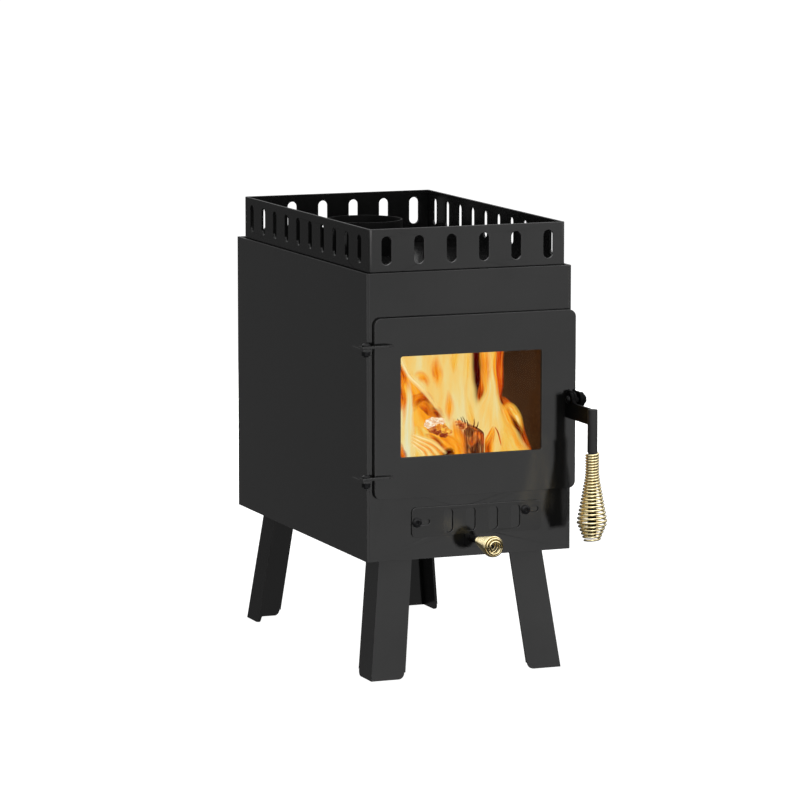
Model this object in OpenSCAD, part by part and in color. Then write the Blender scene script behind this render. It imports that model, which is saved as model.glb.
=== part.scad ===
// Steel sauna stove on four splayed legs, with a stone rail on top, a glazed door,
// a lift latch with a coiled grip and a sliding air plate. Sizes are in millimetres.
// X points right, -Y is the stove's front, +Z points up and the floor is at zero.

/* [Body] */
// Width of the body over its side panels
body_w = 270; // [230:1:340]
// Depth of the body from front face to back face
body_d = 464; // [400:1:560]
// Height of the body from its underside to its upper rim
body_h = 354; // [340:1:420]
// Thickness of the side, front and back panels
wall_t = 3.5; // [2.5:0.1:5]
// Thickness of the bottom plate
base_t = 4; // [3:0.5:6]
// Thickness of the top plate that carries the stones
top_t = 4; // [3:0.5:6]
// How far the top plate lies below the upper rim of the body
top_drop = 15; // [8:1:25]

/* [Origin] */
// How far the origin lies left of the middle of the body
origin_left = 0.2; // [0:0.1:5]
// How far the origin lies in front of the middle of the body
origin_front = 52.7; // [40:0.1:70]

/* [Legs] */
// Height of the legs from the floor to the underside of the body
leg_h = 150; // [100:1:220]
// Width of each flange of a leg
leg_w = 44; // [35:1:55]
// Thickness of the leg steel
leg_t = 3.5; // [2.5:0.1:5]
// How far a foot stands out sideways from the top of its leg
leg_splay_x = 18.4; // [5:0.1:30]
// How far a foot stands out forward or backward from the top of its leg
leg_splay_y = 20; // [5:0.1:30]
// Distance of the top of a leg from the side of the body
leg_in_x = 26.7; // [15:0.1:35]
// Distance of the top of a leg from the front or back of the body
leg_in_y = 27; // [15:0.1:35]
// Radius of the free lower corners of the leg flanges
leg_corner_r = 8; // [3:0.5:12]
// Thickness of the flange that bolts a leg to the body
leg_pad_t = 4; // [3:0.5:6]
// Diameter of the leg bolts
leg_bolt_d = 8; // [6:0.5:10]

/* [Stone rail] */
// Height of the stone rail above the top plate
rail_h = 68; // [60:1:90]
// Thickness of the rail
rail_t = 3; // [2:0.1:4]
// Gap between the rail and the side and front panels
rail_gap = 2.4; // [0.5:0.1:5]
// Gap between the rail and the back panel
rail_gap_back = 8.7; // [0.5:0.1:12]
// Width of the rail's slots
rail_slot_w = 13; // [8:0.5:18]
// Height of the rail's slots
rail_slot_h = 35; // [20:1:45]
// Distance of the slots below the rail's top edge
rail_slot_drop = 9; // [5:0.5:14]
// Distance from slot to slot
rail_slot_pitch = 42.7; // [30:0.1:60]
// Distance of the first slot in the sides from the rail's front
rail_slot_first = 34; // [20:0.5:45]

/* [Flue] */
// Outside diameter of the flue collar
flue_d = 100; // [80:1:120]
// Wall of the flue collar
flue_t = 2; // [1.5:0.1:4]
// Height of the flue collar above the top plate
flue_h = 43; // [30:1:60]
// Distance of the flue's axis from the back face of the body
flue_in = 107.5; // [80:0.5:140]

/* [Door] */
// Thickness of the door plate
door_t = 5; // [4:0.1:8]
// Space between the door plate and the front panel
door_gap = 1.6; // [1:0.1:3]
// How far the door's left edge lies inside the body's left side
door_in_left = 8; // [6:0.5:14]
// How far the door's right edge passes the body's right side
door_over_right = 4; // [2:0.5:5]
// Height of the door's lower edge above the body's underside
door_up = 77.3; // [72:0.1:90]
// Distance of the door's upper edge below the body's rim
door_drop = 54.5; // [45:0.1:70]
// Radius of the door's corners
door_corner_r = 9; // [4:0.5:14]
// Width that the door overlaps the opening in the front panel on its left and right
door_lap_x = 15; // [13:0.5:18]
// Extra overlap of the door on its latch side
door_lap_latch = 6; // [0:0.5:8]
// Height that the door overlaps the opening above and below
door_lap_z = 17; // [13:0.5:20]
// Width of the door's plate left of the window
frame_left = 34; // [28:0.5:40]
// Width of the door's plate right of the window
frame_right = 45.5; // [38:0.5:55]
// Height of the door's plate below the window
frame_low = 50.2; // [42:0.1:60]
// Height of the door's plate above the window
frame_high = 47.5; // [42:0.1:60]
// Radius of the window's corners
window_r = 3; // [1:0.5:8]
// Thickness of the glass
glass_t = 4; // [3:0.5:5]
// How far the glass laps behind the door's plate
glass_lap = 10; // [7:0.5:12]
// Thickness of the tape between the door's plate and the glass
tape_t = 1; // [0.5:0.1:1.5]
// Width of the flat seal between the door and the front panel
seal_w = 8; // [5:0.5:10]
// Thickness of the flat seal
seal_t = 1.5; // [0.8:0.1:1.6]
// Width of a glass clip
clip_w = 14; // [10:1:20]
// Thickness of a glass clip
clip_t = 1.5; // [1:0.1:2]
// Diameter of the clip screws
clip_screw_d = 4; // [3:0.5:5]

/* [Hinges] */
// Thickness of the hinge plates
hinge_t = 3; // [2:0.1:4]
// Diameter of the hinge bolts
hinge_bolt_d = 6; // [5:0.1:7]
// How far the hinge axis lies left of the body's left side
hinge_out_x = 6; // [5:0.1:9]
// How far the hinge axis lies in front of the front panel
hinge_out_y = 13; // [12:0.1:16]
// Steel around the hinge bolt
hinge_edge = 5; // [4:0.1:7]
// Height of the lower hinge above the door's lower edge
hinge_low = 26.3; // [20:0.1:40]
// Distance of the upper hinge below the door's upper edge
hinge_high = 34.9; // [25:0.1:50]
// Length of the bracket along the side of the body
bracket_len = 30; // [20:1:45]
// Length of the tongue along the door
tongue_len = 24; // [15:1:35]
// Length of the chamfers at the ends of the hinge plates
hinge_cut = 10; // [5:0.5:12]

/* [Latch] */
// Height of the latch shaft above the body's underside
latch_z = 189.5; // [175:0.1:205]
// How far the latch shaft lies in front of the door
latch_out = 13.4; // [12:0.1:18]
// Diameter of the latch shaft
latch_shaft_d = 6; // [5:0.1:8]
// Thickness of the two ears on the door
ear_t = 3; // [2:0.1:4]
// Clear width between the two ears
ear_space = 4.5; // [3:0.1:6]
// Radius of the ears around the shaft
ear_r = 9.5; // [8:0.1:11]
// Thickness of the handle arm
arm_t = 4; // [3:0.1:5]
// Height of the handle arm
arm_h = 20; // [14:0.5:26]
// How far the arm's top edge lies below the shaft's axis
arm_drop = 3.1; // [1:0.1:5]
// Radius of the arm's eye around the shaft
arm_eye_r = 9; // [7:0.1:11]
// Distance from the shaft to the middle of the rod
arm_reach = 66.3; // [55:0.1:80]
// Gap between the arm's root and the door
arm_clear = 0.7; // [0.4:0.1:2]
// Thickness of the hook
hook_t = 3; // [2:0.1:3.5]
// Height of the hook's bar
hook_h = 12; // [8:0.5:16]
// Distance from the shaft to the middle of the catch pin
hook_reach = 32; // [28:0.1:36]
// Length of the hook's nose behind the catch pin
hook_nose = 5; // [3:0.1:8]
// Diameter of the catch pin
catch_d = 8; // [6:0.1:10]
// How far the catch pin lies below the latch shaft
catch_drop = 1.5; // [0:0.1:4]
// How far the catch pin stands out of the side panel
catch_len = 9; // [8:0.1:12]

/* [Grip] */
// Diameter of the upper end of the rod
rod_d = 12.4; // [11:0.1:14]
// Diameter of the rod inside the coil
rod_core_d = 10.5; // [8:0.1:10.6]
// Length of the bare rod above the coil
rod_bare = 52.8; // [40:0.1:70]
// How far the coil passes the lower end of the rod
rod_short = 5; // [2:0.1:12]
// Length of the coil
grip_len = 109.3; // [100:0.1:130]
// Length of the coil's straight neck
grip_neck_len = 28.3; // [20:0.1:40]
// Outside diameter of the coil's neck
grip_neck_d = 17.5; // [17.4:0.1:20]
// Distance of the coil's widest turn from its upper end
grip_wide_at = 84.3; // [75:0.1:92]
// Outside diameter of the coil's widest turn
grip_wide_d = 38.3; // [30:0.1:44]
// Outside diameter of the coil's last turn
grip_end_d = 20.8; // [16:0.1:28]
// Diameter of the coil's wire
grip_wire_d = 2.6; // [2:0.1:2.7]
// Distance from turn to turn in the neck
grip_neck_pitch = 3.4; // [3.3:0.1:4.5]
// Distance from turn to turn at the widest turn
grip_wide_pitch = 5.3; // [4:0.1:7]
// Distance from turn to turn at the lower end
grip_end_pitch = 4.2; // [3.6:0.1:6]

/* [Air slider] */
// Thickness of the sliding plate
slider_t = 2.5; // [2:0.1:4]
// Running gap between the sliding plate and the front panel
slider_gap = 0.2; // [0.1:0.1:0.5]
// Height of the sliding plate
slider_h = 37; // [34:0.5:42]
// Height of the sliding plate's middle above the body's underside
slider_z = 45.8; // [42:0.1:50]
// Radius of the sliding plate's corners
slider_corner_r = 6; // [3:0.5:10]
// How far the sliding plate travels
slider_travel = 14; // [13.5:0.1:15]
// Number of air holes
air_count = 4; // [3:1:4]
// Width of an air hole
air_w = 12.5; // [11.5:0.5:13]
// Height of an air hole
air_h = 29; // [22:0.5:31]
// Distance from air hole to air hole
air_pitch = 29.8; // [28:0.1:31]
// How far the middle of the plate's air holes lies right of the body's middle
air_x = 16; // [10:0.5:20]
// Radius of the corners of the air holes
air_r = 5.5; // [2:0.5:5.5]
// Diameter of the slider screws
slider_screw_d = 6; // [5:0.1:7]
// Diameter of the slider screws' heads
slider_head_w = 11.8; // [10:0.1:12.5]
// Clearance of the slider screws in their slots
slider_slot_gap = 0.4; // [0.2:0.1:0.6]
// Steel between the left slot and the air hole beside it
slot_land_left = 18.2; // [8:0.1:22]
// Steel between the right slot and the air hole beside it
slot_land_right = 3.5; // [3:0.1:8]
// Steel between the left slot and the plate's left end
slot_end_left = 3; // [2.5:0.1:6]
// Steel between the right slot and the plate's right end
slot_end_right = 3.8; // [2.5:0.1:6]
// How far the right screw lies above the left one
slider_screw_step = 7.4; // [0:0.1:8]
// Width of the tab that carries the knob
tab_w = 18.6; // [14:0.1:24]
// How far the tab lies left of the middle of the air holes
tab_left = 13; // [8:0.5:18]
// How far the tab hangs below the plate
tab_h = 16.7; // [14:0.1:20]
// Radius of the tab's corners
tab_r = 4; // [2:0.5:6]

/* [Knob] */
// How far the knob's axis lies below the plate
knob_drop = 5.3; // [4:0.1:8]
// Diameter of the stud's shoulder
stud_d = 9; // [7:0.1:12]
// Length of the stud's shoulder
stud_len = 17.4; // [12:0.1:20]
// Diameter of the stud inside the coil
stud_core_d = 4; // [3:0.1:4.2]
// Length of the coil
knob_len = 55; // [48:0.1:70]
// Outside diameter of the coil's first turn
knob_neck_d = 9.7; // [9.4:0.1:12]
// Distance of the widest turn from the coil's front end
knob_wide_at = 8.5; // [7:0.1:12]
// Outside diameter of the coil's widest turn
knob_wide_d = 27; // [22:0.1:32]
// Outside diameter of the coil's last turn
knob_end_d = 11.8; // [10:0.1:15]
// Diameter of the coil's wire
knob_wire_d = 2.2; // [1.8:0.1:2.4]
// Distance from turn to turn along the cone
knob_pitch = 5.4; // [4:0.1:7]
// Distance from turn to turn over the rounded front
knob_end_pitch = 4.2; // [3:0.1:5]

/* [Firebox] */
// Height of the grate's underside above the body's underside
grate_up = 78; // [74:1:82]
// Thickness of the grate
grate_t = 8; // [5:0.5:10]
// Width of the grate's slots
grate_slot_w = 9; // [6:0.5:12]
// Distance from slot to slot across the grate
grate_pitch = 20; // [16:0.5:26]
// Width of the grate's cross bars
grate_bar = 14; // [10:0.5:24]
// Width of the ledges that carry the grate and the baffle
ledge_w = 15; // [10:0.5:20]
// Thickness of the ledges
ledge_t = 4; // [3:0.5:6]
// Clear height between the baffle and the top plate
baffle_drop = 30; // [20:1:40]
// Thickness of the baffle
baffle_t = 5; // [3:0.5:8]
// Depth of the smoke gap between the baffle and the front panel
baffle_gap = 78; // [50:1:120]
// Play of the loose grate and baffle
loose_gap = 0.8; // [0.5:0.1:2]

/* [Hidden] */
$fn = 64;
play = 0.2;
bolt_play = 0.05;
pin_play = 0.08;
coil_play = 0.3;
hook_gap = 0.3;
nut_w = 1.66;
head_w = 1.75;
head_t = 0.55;
socket_w = 0.66;
leg_head_w = 1.6;
leg_head_t = 0.65;
leg_nut_t = 0.8;
half_w = body_w / 2;
half_d = body_d / 2;
body_z = leg_h;
rim_z = body_z + body_h;
top_z = rim_z - top_drop;
in_w = half_w - wall_t;
in_d = half_d - wall_t;
front_y = -half_d;
flue_y = half_d - flue_in;
leg_x = half_w - leg_in_x;
leg_y = half_d - leg_in_y;
tilt_x = atan(leg_splay_x / leg_h);
tilt_y = atan(leg_splay_y / leg_h);
nut_h = 5;
latch_nut_t = 3.2;
rail_x = in_w - rail_gap;
rail_y0 = -in_d + rail_gap;
rail_y1 = in_d - rail_gap_back;
slot_z = top_z + rail_h - rail_slot_drop - rail_slot_h / 2;
slots_front = floor(2 * rail_x / rail_slot_pitch);
slots_side = floor((rail_y1 - rail_y0 - rail_slot_first - rail_slot_w) / rail_slot_pitch) + 1;
door_x0 = -half_w + door_in_left;
door_x1 = half_w + door_over_right;
door_z0 = body_z + door_up;
door_z1 = rim_z - door_drop;
door_back = front_y - door_gap;
door_front = door_back - door_t;
open_x0 = door_x0 + door_lap_x;
open_x1 = door_x1 - door_lap_x - door_lap_latch;
open_z0 = door_z0 + door_lap_z;
open_z1 = door_z1 - door_lap_z;
window_x0 = door_x0 + frame_left;
window_x1 = door_x1 - frame_right;
window_z0 = door_z0 + frame_low;
window_z1 = door_z1 - frame_high;
clip_x = (window_x1 - window_x0) / 3;
window_x = (window_x0 + window_x1) / 2;
clip_foot = 9;
clip_reach = 7;
clip_step = 0.3;
seal_in = 2;
axis_x = -half_w - hinge_out_x;
axis_y = front_y - hinge_out_y;
hinge_z = [door_z0 + hinge_low, door_z1 - hinge_high];
shaft_z = body_z + latch_z;
shaft_y = door_front - latch_out;
ear_x1 = door_x1 - ear_t;
ear_x0 = ear_x1 - ear_space - ear_t;
arm_x = ear_x0 - play - arm_t;
hook_x = door_x1 + hook_gap;
arm_top = shaft_z - arm_drop;
arm_low = arm_top - arm_h;
rod_x = arm_x + arm_t / 2;
rod_y = shaft_y - arm_reach;
catch_y = shaft_y + hook_reach;
catch_z = shaft_z - catch_drop;
hook_clear = 0.6;
hook_rest = 0.3;
shoulder_z = arm_top - rod_bare;
grip_top = shoulder_z - coil_play;
slider_y = front_y - slider_gap - slider_t;
plate_z = body_z + slider_z;
holes_reach = ((air_count - 1) * air_pitch + air_w) / 2;
slot_w = slider_screw_d + 2 * slider_slot_gap;
slot_len = slot_w + slider_travel;
slot_x = [air_x - holes_reach - slot_land_left - slot_len, air_x + holes_reach + slot_land_right];
slider_x0 = slot_x[0] - slot_end_left;
slider_x1 = slot_x[1] + slot_len + slot_end_right;
screw_x = [for (x = slot_x) x + slot_w / 2];
screw_z = [plate_z, plate_z + slider_screw_step];
tab_x = air_x - tab_left;
knob_z = plate_z - slider_h / 2 - knob_drop;
stud_y = slider_y - stud_len;
grate_z = body_z + grate_up;
baffle_z = top_z - top_t - baffle_drop - baffle_t;
steel = [0.16, 0.16, 0.17];
brass = [0.85, 0.66, 0.3];

// Moves a piece from the middle of the body to the origin of the whole stove
module place() {
    translate([origin_left, origin_front, 0]) children();
}

// Plates drawn flat and stood up across X, across Y or laid level
module plate_x(x, t) {
    translate([x, 0, 0]) rotate([90, 0, 90]) linear_extrude(t) children();
}
module plate_y(y, t) {
    translate([0, y + t, 0]) rotate([90, 0, 0]) linear_extrude(t) children();
}
module plate_z(z, t) {
    translate([0, 0, z]) linear_extrude(t) children();
}
module area(x0, x1, y0, y1) {
    translate([x0, y0]) square([x1 - x0, y1 - y0]);
}
module soft_area(x0, x1, y0, y1, r) {
    area(x0 + r, x1 - r, y0, y1);
    area(x0, x1, y0 + r, y1 - r);
    for (x = [x0 + r, x1 - r], y = [y0 + r, y1 - r]) translate([x, y]) circle(r);
}
module slot_area(x, y, w, h) {
    r = min(w, h) / 2;
    soft_area(x - w / 2, x + w / 2, y - h / 2, y + h / 2, r - 0.001);
}

// Round bars along X, Y or Z
module bar_x(x, y, z, d, l) {
    translate([x, y, z]) rotate([0, 90, 0]) cylinder(d = d, h = l);
}
module bar_y(x, y, z, d, l) {
    translate([x, y + l, z]) rotate([90, 0, 0]) cylinder(d = d, h = l);
}
module bar_z(x, y, z, d, l) {
    translate([x, y, z]) cylinder(d = d, h = l);
}
module hex(af, h) {
    cylinder(d = af / cos(30), h = h, $fn = 6);
}
module button_head(d, h, socket) {
    difference() {
        union() {
            cylinder(d = d, h = h * 0.45);
            translate([0, 0, h * 0.45]) cylinder(d1 = d, d2 = d * 0.62, h = h * 0.55);
        }
        translate([0, 0, h * 0.4]) hex(socket, h);
    }
}

// A round wire wound along a profile of [distance, radius] points, with 8 rings to a turn.
// It starts and ends in a straight piece as long as the wire is thick.
function run_sum(v) = [for (i = 0, a = 0; i < len(v); a = a + v[i], i = i + 1) a + v[i]];
function fine(p, n) = [for (i = [0 : len(p) - 2], k = [0 : n - 1]) p[i] + (p[i + 1] - p[i]) * k / n];
function coil_table(p, pitches) = let (
    q = concat(fine(p, 12), [p[len(p) - 1]]),
    step = [for (i = [0 : len(q) - 2]) norm(q[i + 1] - q[i])],
    turns = concat([0], run_sum([for (i = [0 : len(q) - 2])
        step[i] / lookup((q[i][0] + q[i + 1][0]) / 2, pitches)])))
    [for (i = [0 : len(q) - 1]) [turns[i], q[i][0], q[i][1]]];
function coil_axis(table, first) =
    let (a = [for (t = table) [t[0], t[1]]], r = [for (t = table) [t[0], t[2]]],
        n = floor(table[len(table) - 1][0] * 8))
    [for (k = [0 : n]) [lookup(k / 8, r) * cos(first + 45 * k), lookup(k / 8, r) * sin(first + 45 * k),
        lookup(k / 8, a)]];
function unit(v) = v / norm(v);
function with_tails(c, d) = let (n = len(c)) concat([c[0] - unit(c[1] - c[0]) * d], c,
    [c[n - 1] + unit(c[n - 1] - c[n - 2]) * d]);
function ring(p, t, out, d, k) = let (n = unit(out - t * (out * t)), b = cross(t, n))
    [for (i = [0 : 5]) p + d / 2 * (n * cos(60 * i) * k + b * sin(60 * i))];
function coil_rings(c, d) = let (n = len(c)) [for (i = [0 : n - 1])
    let (t = i == 0 ? unit(c[1] - c[0]) : i == n - 1 ? unit(c[n - 1] - c[n - 2])
            : unit(unit(c[i + 1] - c[i]) + unit(c[i] - c[i - 1])),
        k = (i == 0 || i == n - 1) ? 1 : 1 / cos(22.5))
    ring(c[i], t, [c[i][0], c[i][1], 0], d, k)];
function ring_gap(a, b) = min([for (p = a, q = b) norm(p - q)]);
function least_gap(rings) = min([for (i = [0 : len(rings) - 8])
    min(ring_gap(rings[i], rings[i + 7]),
        i + 8 < len(rings) ? ring_gap(rings[i], rings[i + 8]) : 100,
        i + 9 < len(rings) ? ring_gap(rings[i], rings[i + 9]) : 100)]);
module wire(rings) {
    n = len(rings);
    points = [for (r = rings, p = r) p];
    sides = [for (i = [0 : n - 2], j = [0 : 5]) let (a = 6 * i + j, b = 6 * i + (j + 1) % 6)
        each [[a, a + 6, b], [b, a + 6, b + 6]]];
    start = [for (j = [1 : 4]) [0, j, j + 1]];
    end = [for (j = [1 : 4]) [6 * (n - 1), 6 * (n - 1) + j + 1, 6 * (n - 1) + j]];
    polyhedron(points = points, faces = concat(start, sides, end), convexity = 20);
}

// Body of welded plates
module side_panel(x) {
    plate_x(x, wall_t) area(-half_d, half_d, body_z, rim_z);
}
module left_side_panel() {
    color(steel) side_panel(-half_w);
}
module right_side_panel() {
    color(steel) side_panel(in_w);
}
module air_holes(shift) {
    for (i = [0 : air_count - 1]) {
        x = air_x + shift + (i - (air_count - 1) / 2) * air_pitch;
        soft_area(x - air_w / 2, x + air_w / 2, plate_z - air_h / 2, plate_z + air_h / 2, air_r);
    }
}
module front_panel() {
    color(steel) plate_y(front_y, wall_t) difference() {
        area(-in_w, in_w, body_z, rim_z);
        soft_area(open_x0, open_x1, open_z0, open_z1, window_r);
        air_holes(-slider_travel);
        for (i = [0, 1]) translate([screw_x[i], screw_z[i]]) circle(d = slider_screw_d + 2 * bolt_play);
    }
}
module back_panel() {
    color(steel) plate_y(in_d, wall_t) area(-in_w, in_w, body_z, rim_z);
}
module leg_places() {
    for (x = [-1, 1], y = [-1, 1]) translate([x * (leg_x - leg_w / 2), y * (leg_y - leg_w / 2), 0]) children();
}
module bottom_plate() {
    color(steel) difference() {
        plate_z(body_z, base_t) area(-in_w, in_w, -in_d, in_d);
        leg_places() bar_z(0, 0, body_z - 1, leg_bolt_d + 2 * bolt_play, base_t + 2);
    }
}
module top_plate() {
    color(steel) plate_z(top_z - top_t, top_t) difference() {
        area(-in_w, in_w, -in_d, in_d);
        translate([0, flue_y]) circle(d = flue_d - 2 * flue_t);
    }
}
module flue_collar() {
    color(steel) translate([0, flue_y, top_z]) linear_extrude(flue_h) difference() {
        circle(d = flue_d);
        circle(d = flue_d - 2 * flue_t);
    }
}

// Stone rail: its front and back turn the corners, its sides run between them
module rail_outline() {
    soft_area(-rail_x, rail_x, rail_y0, rail_y1, rail_t);
}
module rail_slots_across() {
    for (i = [0 : slots_front - 1])
        slot_area((i - (slots_front - 1) / 2) * rail_slot_pitch, slot_z, rail_slot_w, rail_slot_h);
}
module rail_slots_along() {
    for (i = [0 : slots_side - 1])
        slot_area(rail_y0 + rail_slot_first + i * rail_slot_pitch, slot_z, rail_slot_w, rail_slot_h);
}
module rail_end(y) {
    difference() {
        intersection() {
            plate_z(top_z, rail_h) rail_outline();
            plate_y(y, rail_t) area(-rail_x, rail_x, top_z, top_z + rail_h);
        }
        plate_y(y - 1, rail_t + 2) rail_slots_across();
    }
}
module rail_side(x) {
    plate_x(x, rail_t) difference() {
        area(rail_y0 + rail_t, rail_y1 - rail_t, top_z, top_z + rail_h);
        rail_slots_along();
    }
}
module rail_front() {
    color(steel) rail_end(rail_y0);
}
module rail_back() {
    color(steel) rail_end(rail_y1 - rail_t);
}
module rail_left() {
    color(steel) rail_side(-rail_x);
}
module rail_right() {
    color(steel) rail_side(rail_x - rail_t);
}

// Legs: two splayed flanges under a pad, drawn for the front right corner
module flange_area(fold, splay, slope, free) {
    past = 6;
    difference() {
        polygon([[fold + free * past, past], [fold + splay + free * past * 2, -slope - past],
            [fold + splay - free * leg_w, -slope - past], [fold - free * leg_w, past]]);
        translate([fold + splay - free * leg_w, -slope]) difference() {
            area(-leg_corner_r, leg_corner_r, -past * 2, leg_corner_r);
            translate([free * leg_corner_r, leg_corner_r]) circle(leg_corner_r);
            translate([free * leg_corner_r, 0]) area(-0.01, leg_corner_r * 2, -past * 3, leg_corner_r * 2);
        }
    }
}
module leg() {
    slope_y = leg_h / cos(tilt_y);
    slope_x = leg_h / cos(tilt_x);
    difference() {
        intersection() {
            union() {
                translate([0, -leg_y, leg_h]) rotate([90 - tilt_y, 0, 0]) translate([0, 0, -leg_t])
                    linear_extrude(leg_t) flange_area(leg_x, leg_splay_x, slope_y, 1);
                translate([leg_x, 0, leg_h]) rotate([0, -tilt_x, 0]) rotate([90, 0, 90])
                    translate([0, 0, -leg_t]) linear_extrude(leg_t) mirror([1, 0])
                    flange_area(leg_y, leg_splay_y, slope_x, 1);
                translate([leg_x - leg_w, -leg_y, leg_h - leg_pad_t]) cube([leg_w, leg_w, leg_pad_t]);
            }
            translate([leg_x, 0, leg_h]) rotate([0, -tilt_x, 0]) translate([-500, -500, -500])
                cube([500, 1000, 1000]);
            translate([0, -leg_y, leg_h]) rotate([-tilt_y, 0, 0]) translate([-500, 0, -500])
                cube([1000, 500, 1000]);
            translate([-500, -500, 0]) cube([1000, 1000, leg_h]);
        }
        bar_z(leg_x - leg_w / 2, -leg_y + leg_w / 2, leg_h - leg_pad_t - 1,
            leg_bolt_d + 2 * bolt_play, leg_pad_t + 2);
    }
}
module leg_front_left() {
    color(steel) mirror([1, 0, 0]) leg();
}
module leg_front_right() {
    color(steel) leg();
}
module leg_back_left() {
    color(steel) mirror([1, 0, 0]) mirror([0, 1, 0]) leg();
}
module leg_back_right() {
    color(steel) mirror([0, 1, 0]) leg();
}
module leg_bolts() {
    color(steel) leg_places() {
        translate([0, 0, body_z - leg_pad_t - leg_bolt_d * leg_head_t]) hex(leg_bolt_d * leg_head_w, leg_bolt_d * leg_head_t);
        bar_z(0, 0, body_z - leg_pad_t, leg_bolt_d, leg_pad_t + base_t + leg_bolt_d);
    }
}
module leg_nuts() {
    color(steel) leg_places() difference() {
        translate([0, 0, body_z + base_t]) hex(leg_bolt_d * leg_head_w, leg_bolt_d * leg_nut_t);
        bar_z(0, 0, body_z, leg_bolt_d + 2 * bolt_play, 20);
    }
}

// Inside of the firebox
module ledge(x, y0, z) {
    plate_z(z - ledge_t, ledge_t) area(x, x + ledge_w, y0, in_d);
}
module grate_ledge_left() {
    color(steel) ledge(-in_w, -in_d, grate_z);
}
module grate_ledge_right() {
    color(steel) ledge(in_w - ledge_w, -in_d, grate_z);
}
module baffle_ledge_left() {
    color(steel) ledge(-in_w, -in_d + baffle_gap, baffle_z);
}
module baffle_ledge_right() {
    color(steel) ledge(in_w - ledge_w, -in_d + baffle_gap, baffle_z);
}
module fire_grate() {
    gw = in_w - loose_gap;
    gd = in_d - loose_gap;
    span = 2 * (gw - ledge_w - 3);
    count = floor((span - grate_slot_w) / grate_pitch) + 1;
    length = (2 * gd - 4 * grate_bar) / 3;
    color(steel) plate_z(grate_z, grate_t) difference() {
        area(-gw, gw, -gd, gd);
        for (i = [0 : count - 1], k = [-1 : 1])
            slot_area((i - (count - 1) / 2) * grate_pitch, k * (length + grate_bar), grate_slot_w, length);
    }
}
module smoke_baffle() {
    color(steel) plate_z(baffle_z, baffle_t)
        area(-in_w + loose_gap, in_w - loose_gap, -in_d + baffle_gap, in_d - loose_gap);
}

// Hinges: brackets on the side of the body, tongues on the door, bolts through both
module bracket(z) {
    x1 = axis_x - hinge_edge;
    plate_z(z - hinge_t, hinge_t) difference() {
        polygon([[-half_w, front_y + bracket_len], [x1, front_y + bracket_len - hinge_cut],
            [x1, axis_y - hinge_edge], [-half_w, axis_y - hinge_edge]]);
        translate([axis_x, axis_y]) circle(d = hinge_bolt_d + 2 * bolt_play);
    }
}
module tongue(z) {
    plate_z(z + play, hinge_t) difference() {
        polygon([[axis_x - hinge_edge - 1, axis_y - hinge_edge + 0.5],
            [door_x0 + tongue_len - hinge_cut, axis_y - hinge_edge + 0.5],
            [door_x0 + tongue_len, door_front], [axis_x - hinge_edge - 1, door_front]]);
        translate([axis_x, axis_y]) circle(d = hinge_bolt_d + 2 * pin_play);
    }
}
module hinge_bolt(z) {
    head = z + play + hinge_t + play;
    translate([axis_x, axis_y, head]) button_head(hinge_bolt_d * head_w,
        hinge_bolt_d * head_t, hinge_bolt_d * socket_w);
    bar_z(axis_x, axis_y, z - hinge_t - nut_h - 2, hinge_bolt_d, head - z + hinge_t + nut_h + 2);
}
module hinge_nut(z) {
    difference() {
        translate([axis_x, axis_y, z - hinge_t - nut_h]) hex(hinge_bolt_d * nut_w, nut_h);
        bar_z(axis_x, axis_y, z - 30, hinge_bolt_d + 2 * bolt_play, 40);
    }
}
module hinge_bracket_upper() {
    color(steel) bracket(hinge_z[1]);
}
module hinge_bracket_lower() {
    color(steel) bracket(hinge_z[0]);
}
module hinge_tongue_upper() {
    color(steel) tongue(hinge_z[1]);
}
module hinge_tongue_lower() {
    color(steel) tongue(hinge_z[0]);
}
module hinge_bolt_upper() {
    color(steel) hinge_bolt(hinge_z[1]);
}
module hinge_bolt_lower() {
    color(steel) hinge_bolt(hinge_z[0]);
}
module hinge_nut_upper() {
    color(steel) hinge_nut(hinge_z[1]);
}
module hinge_nut_lower() {
    color(steel) hinge_nut(hinge_z[0]);
}

// Door with its glass, tape, clips and seal
module door_panel() {
    color(steel) difference() {
        plate_y(door_back - door_t, door_t) difference() {
            soft_area(door_x0, door_x1, door_z0, door_z1, door_corner_r);
            soft_area(window_x0, window_x1, window_z0, window_z1, window_r);
        }
        clip_places() bar_y(0, door_back - 3, clip_mid, clip_screw_d + 2 * bolt_play, 4);
    }
}
module door_glass() {
    color([0.5, 0.3, 0.15, 0.5]) plate_y(door_back + tape_t, glass_t)
        soft_area(window_x0 - glass_lap, window_x1 + glass_lap, window_z0 - glass_lap,
            window_z1 + glass_lap, window_r);
}
module glass_tape() {
    color([0.3, 0.3, 0.3]) plate_y(door_back, tape_t) difference() {
        soft_area(window_x0 - glass_lap, window_x1 + glass_lap, window_z0 - glass_lap,
            window_z1 + glass_lap, window_r);
        soft_area(window_x0 - 1, window_x1 + 1, window_z0 - 1, window_z1 + 1, window_r);
    }
}
clip_mid = clip_step + clip_t + clip_foot / 2;
module clip_places() {
    for (x = [-1, 1]) {
        translate([window_x + x * clip_x, 0, window_z1 + glass_lap]) children();
        translate([window_x + x * clip_x, 0, window_z0 - glass_lap]) mirror([0, 0, 1]) children();
    }
}
module glass_clips() {
    y1 = door_back + tape_t + glass_t;
    color(steel) clip_places() difference() {
        plate_x(-clip_w / 2, clip_w) polygon([[door_back, clip_step], [door_back, clip_step + clip_foot],
            [door_back + clip_t, clip_step + clip_foot], [door_back + clip_t, clip_step + clip_t],
            [y1 + clip_t, clip_step + clip_t], [y1 + clip_t, -clip_reach], [y1, -clip_reach], [y1, clip_step]]);
        bar_y(0, door_back - 1, clip_mid, clip_screw_d + 2 * bolt_play, 6);
    }
}
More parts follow.
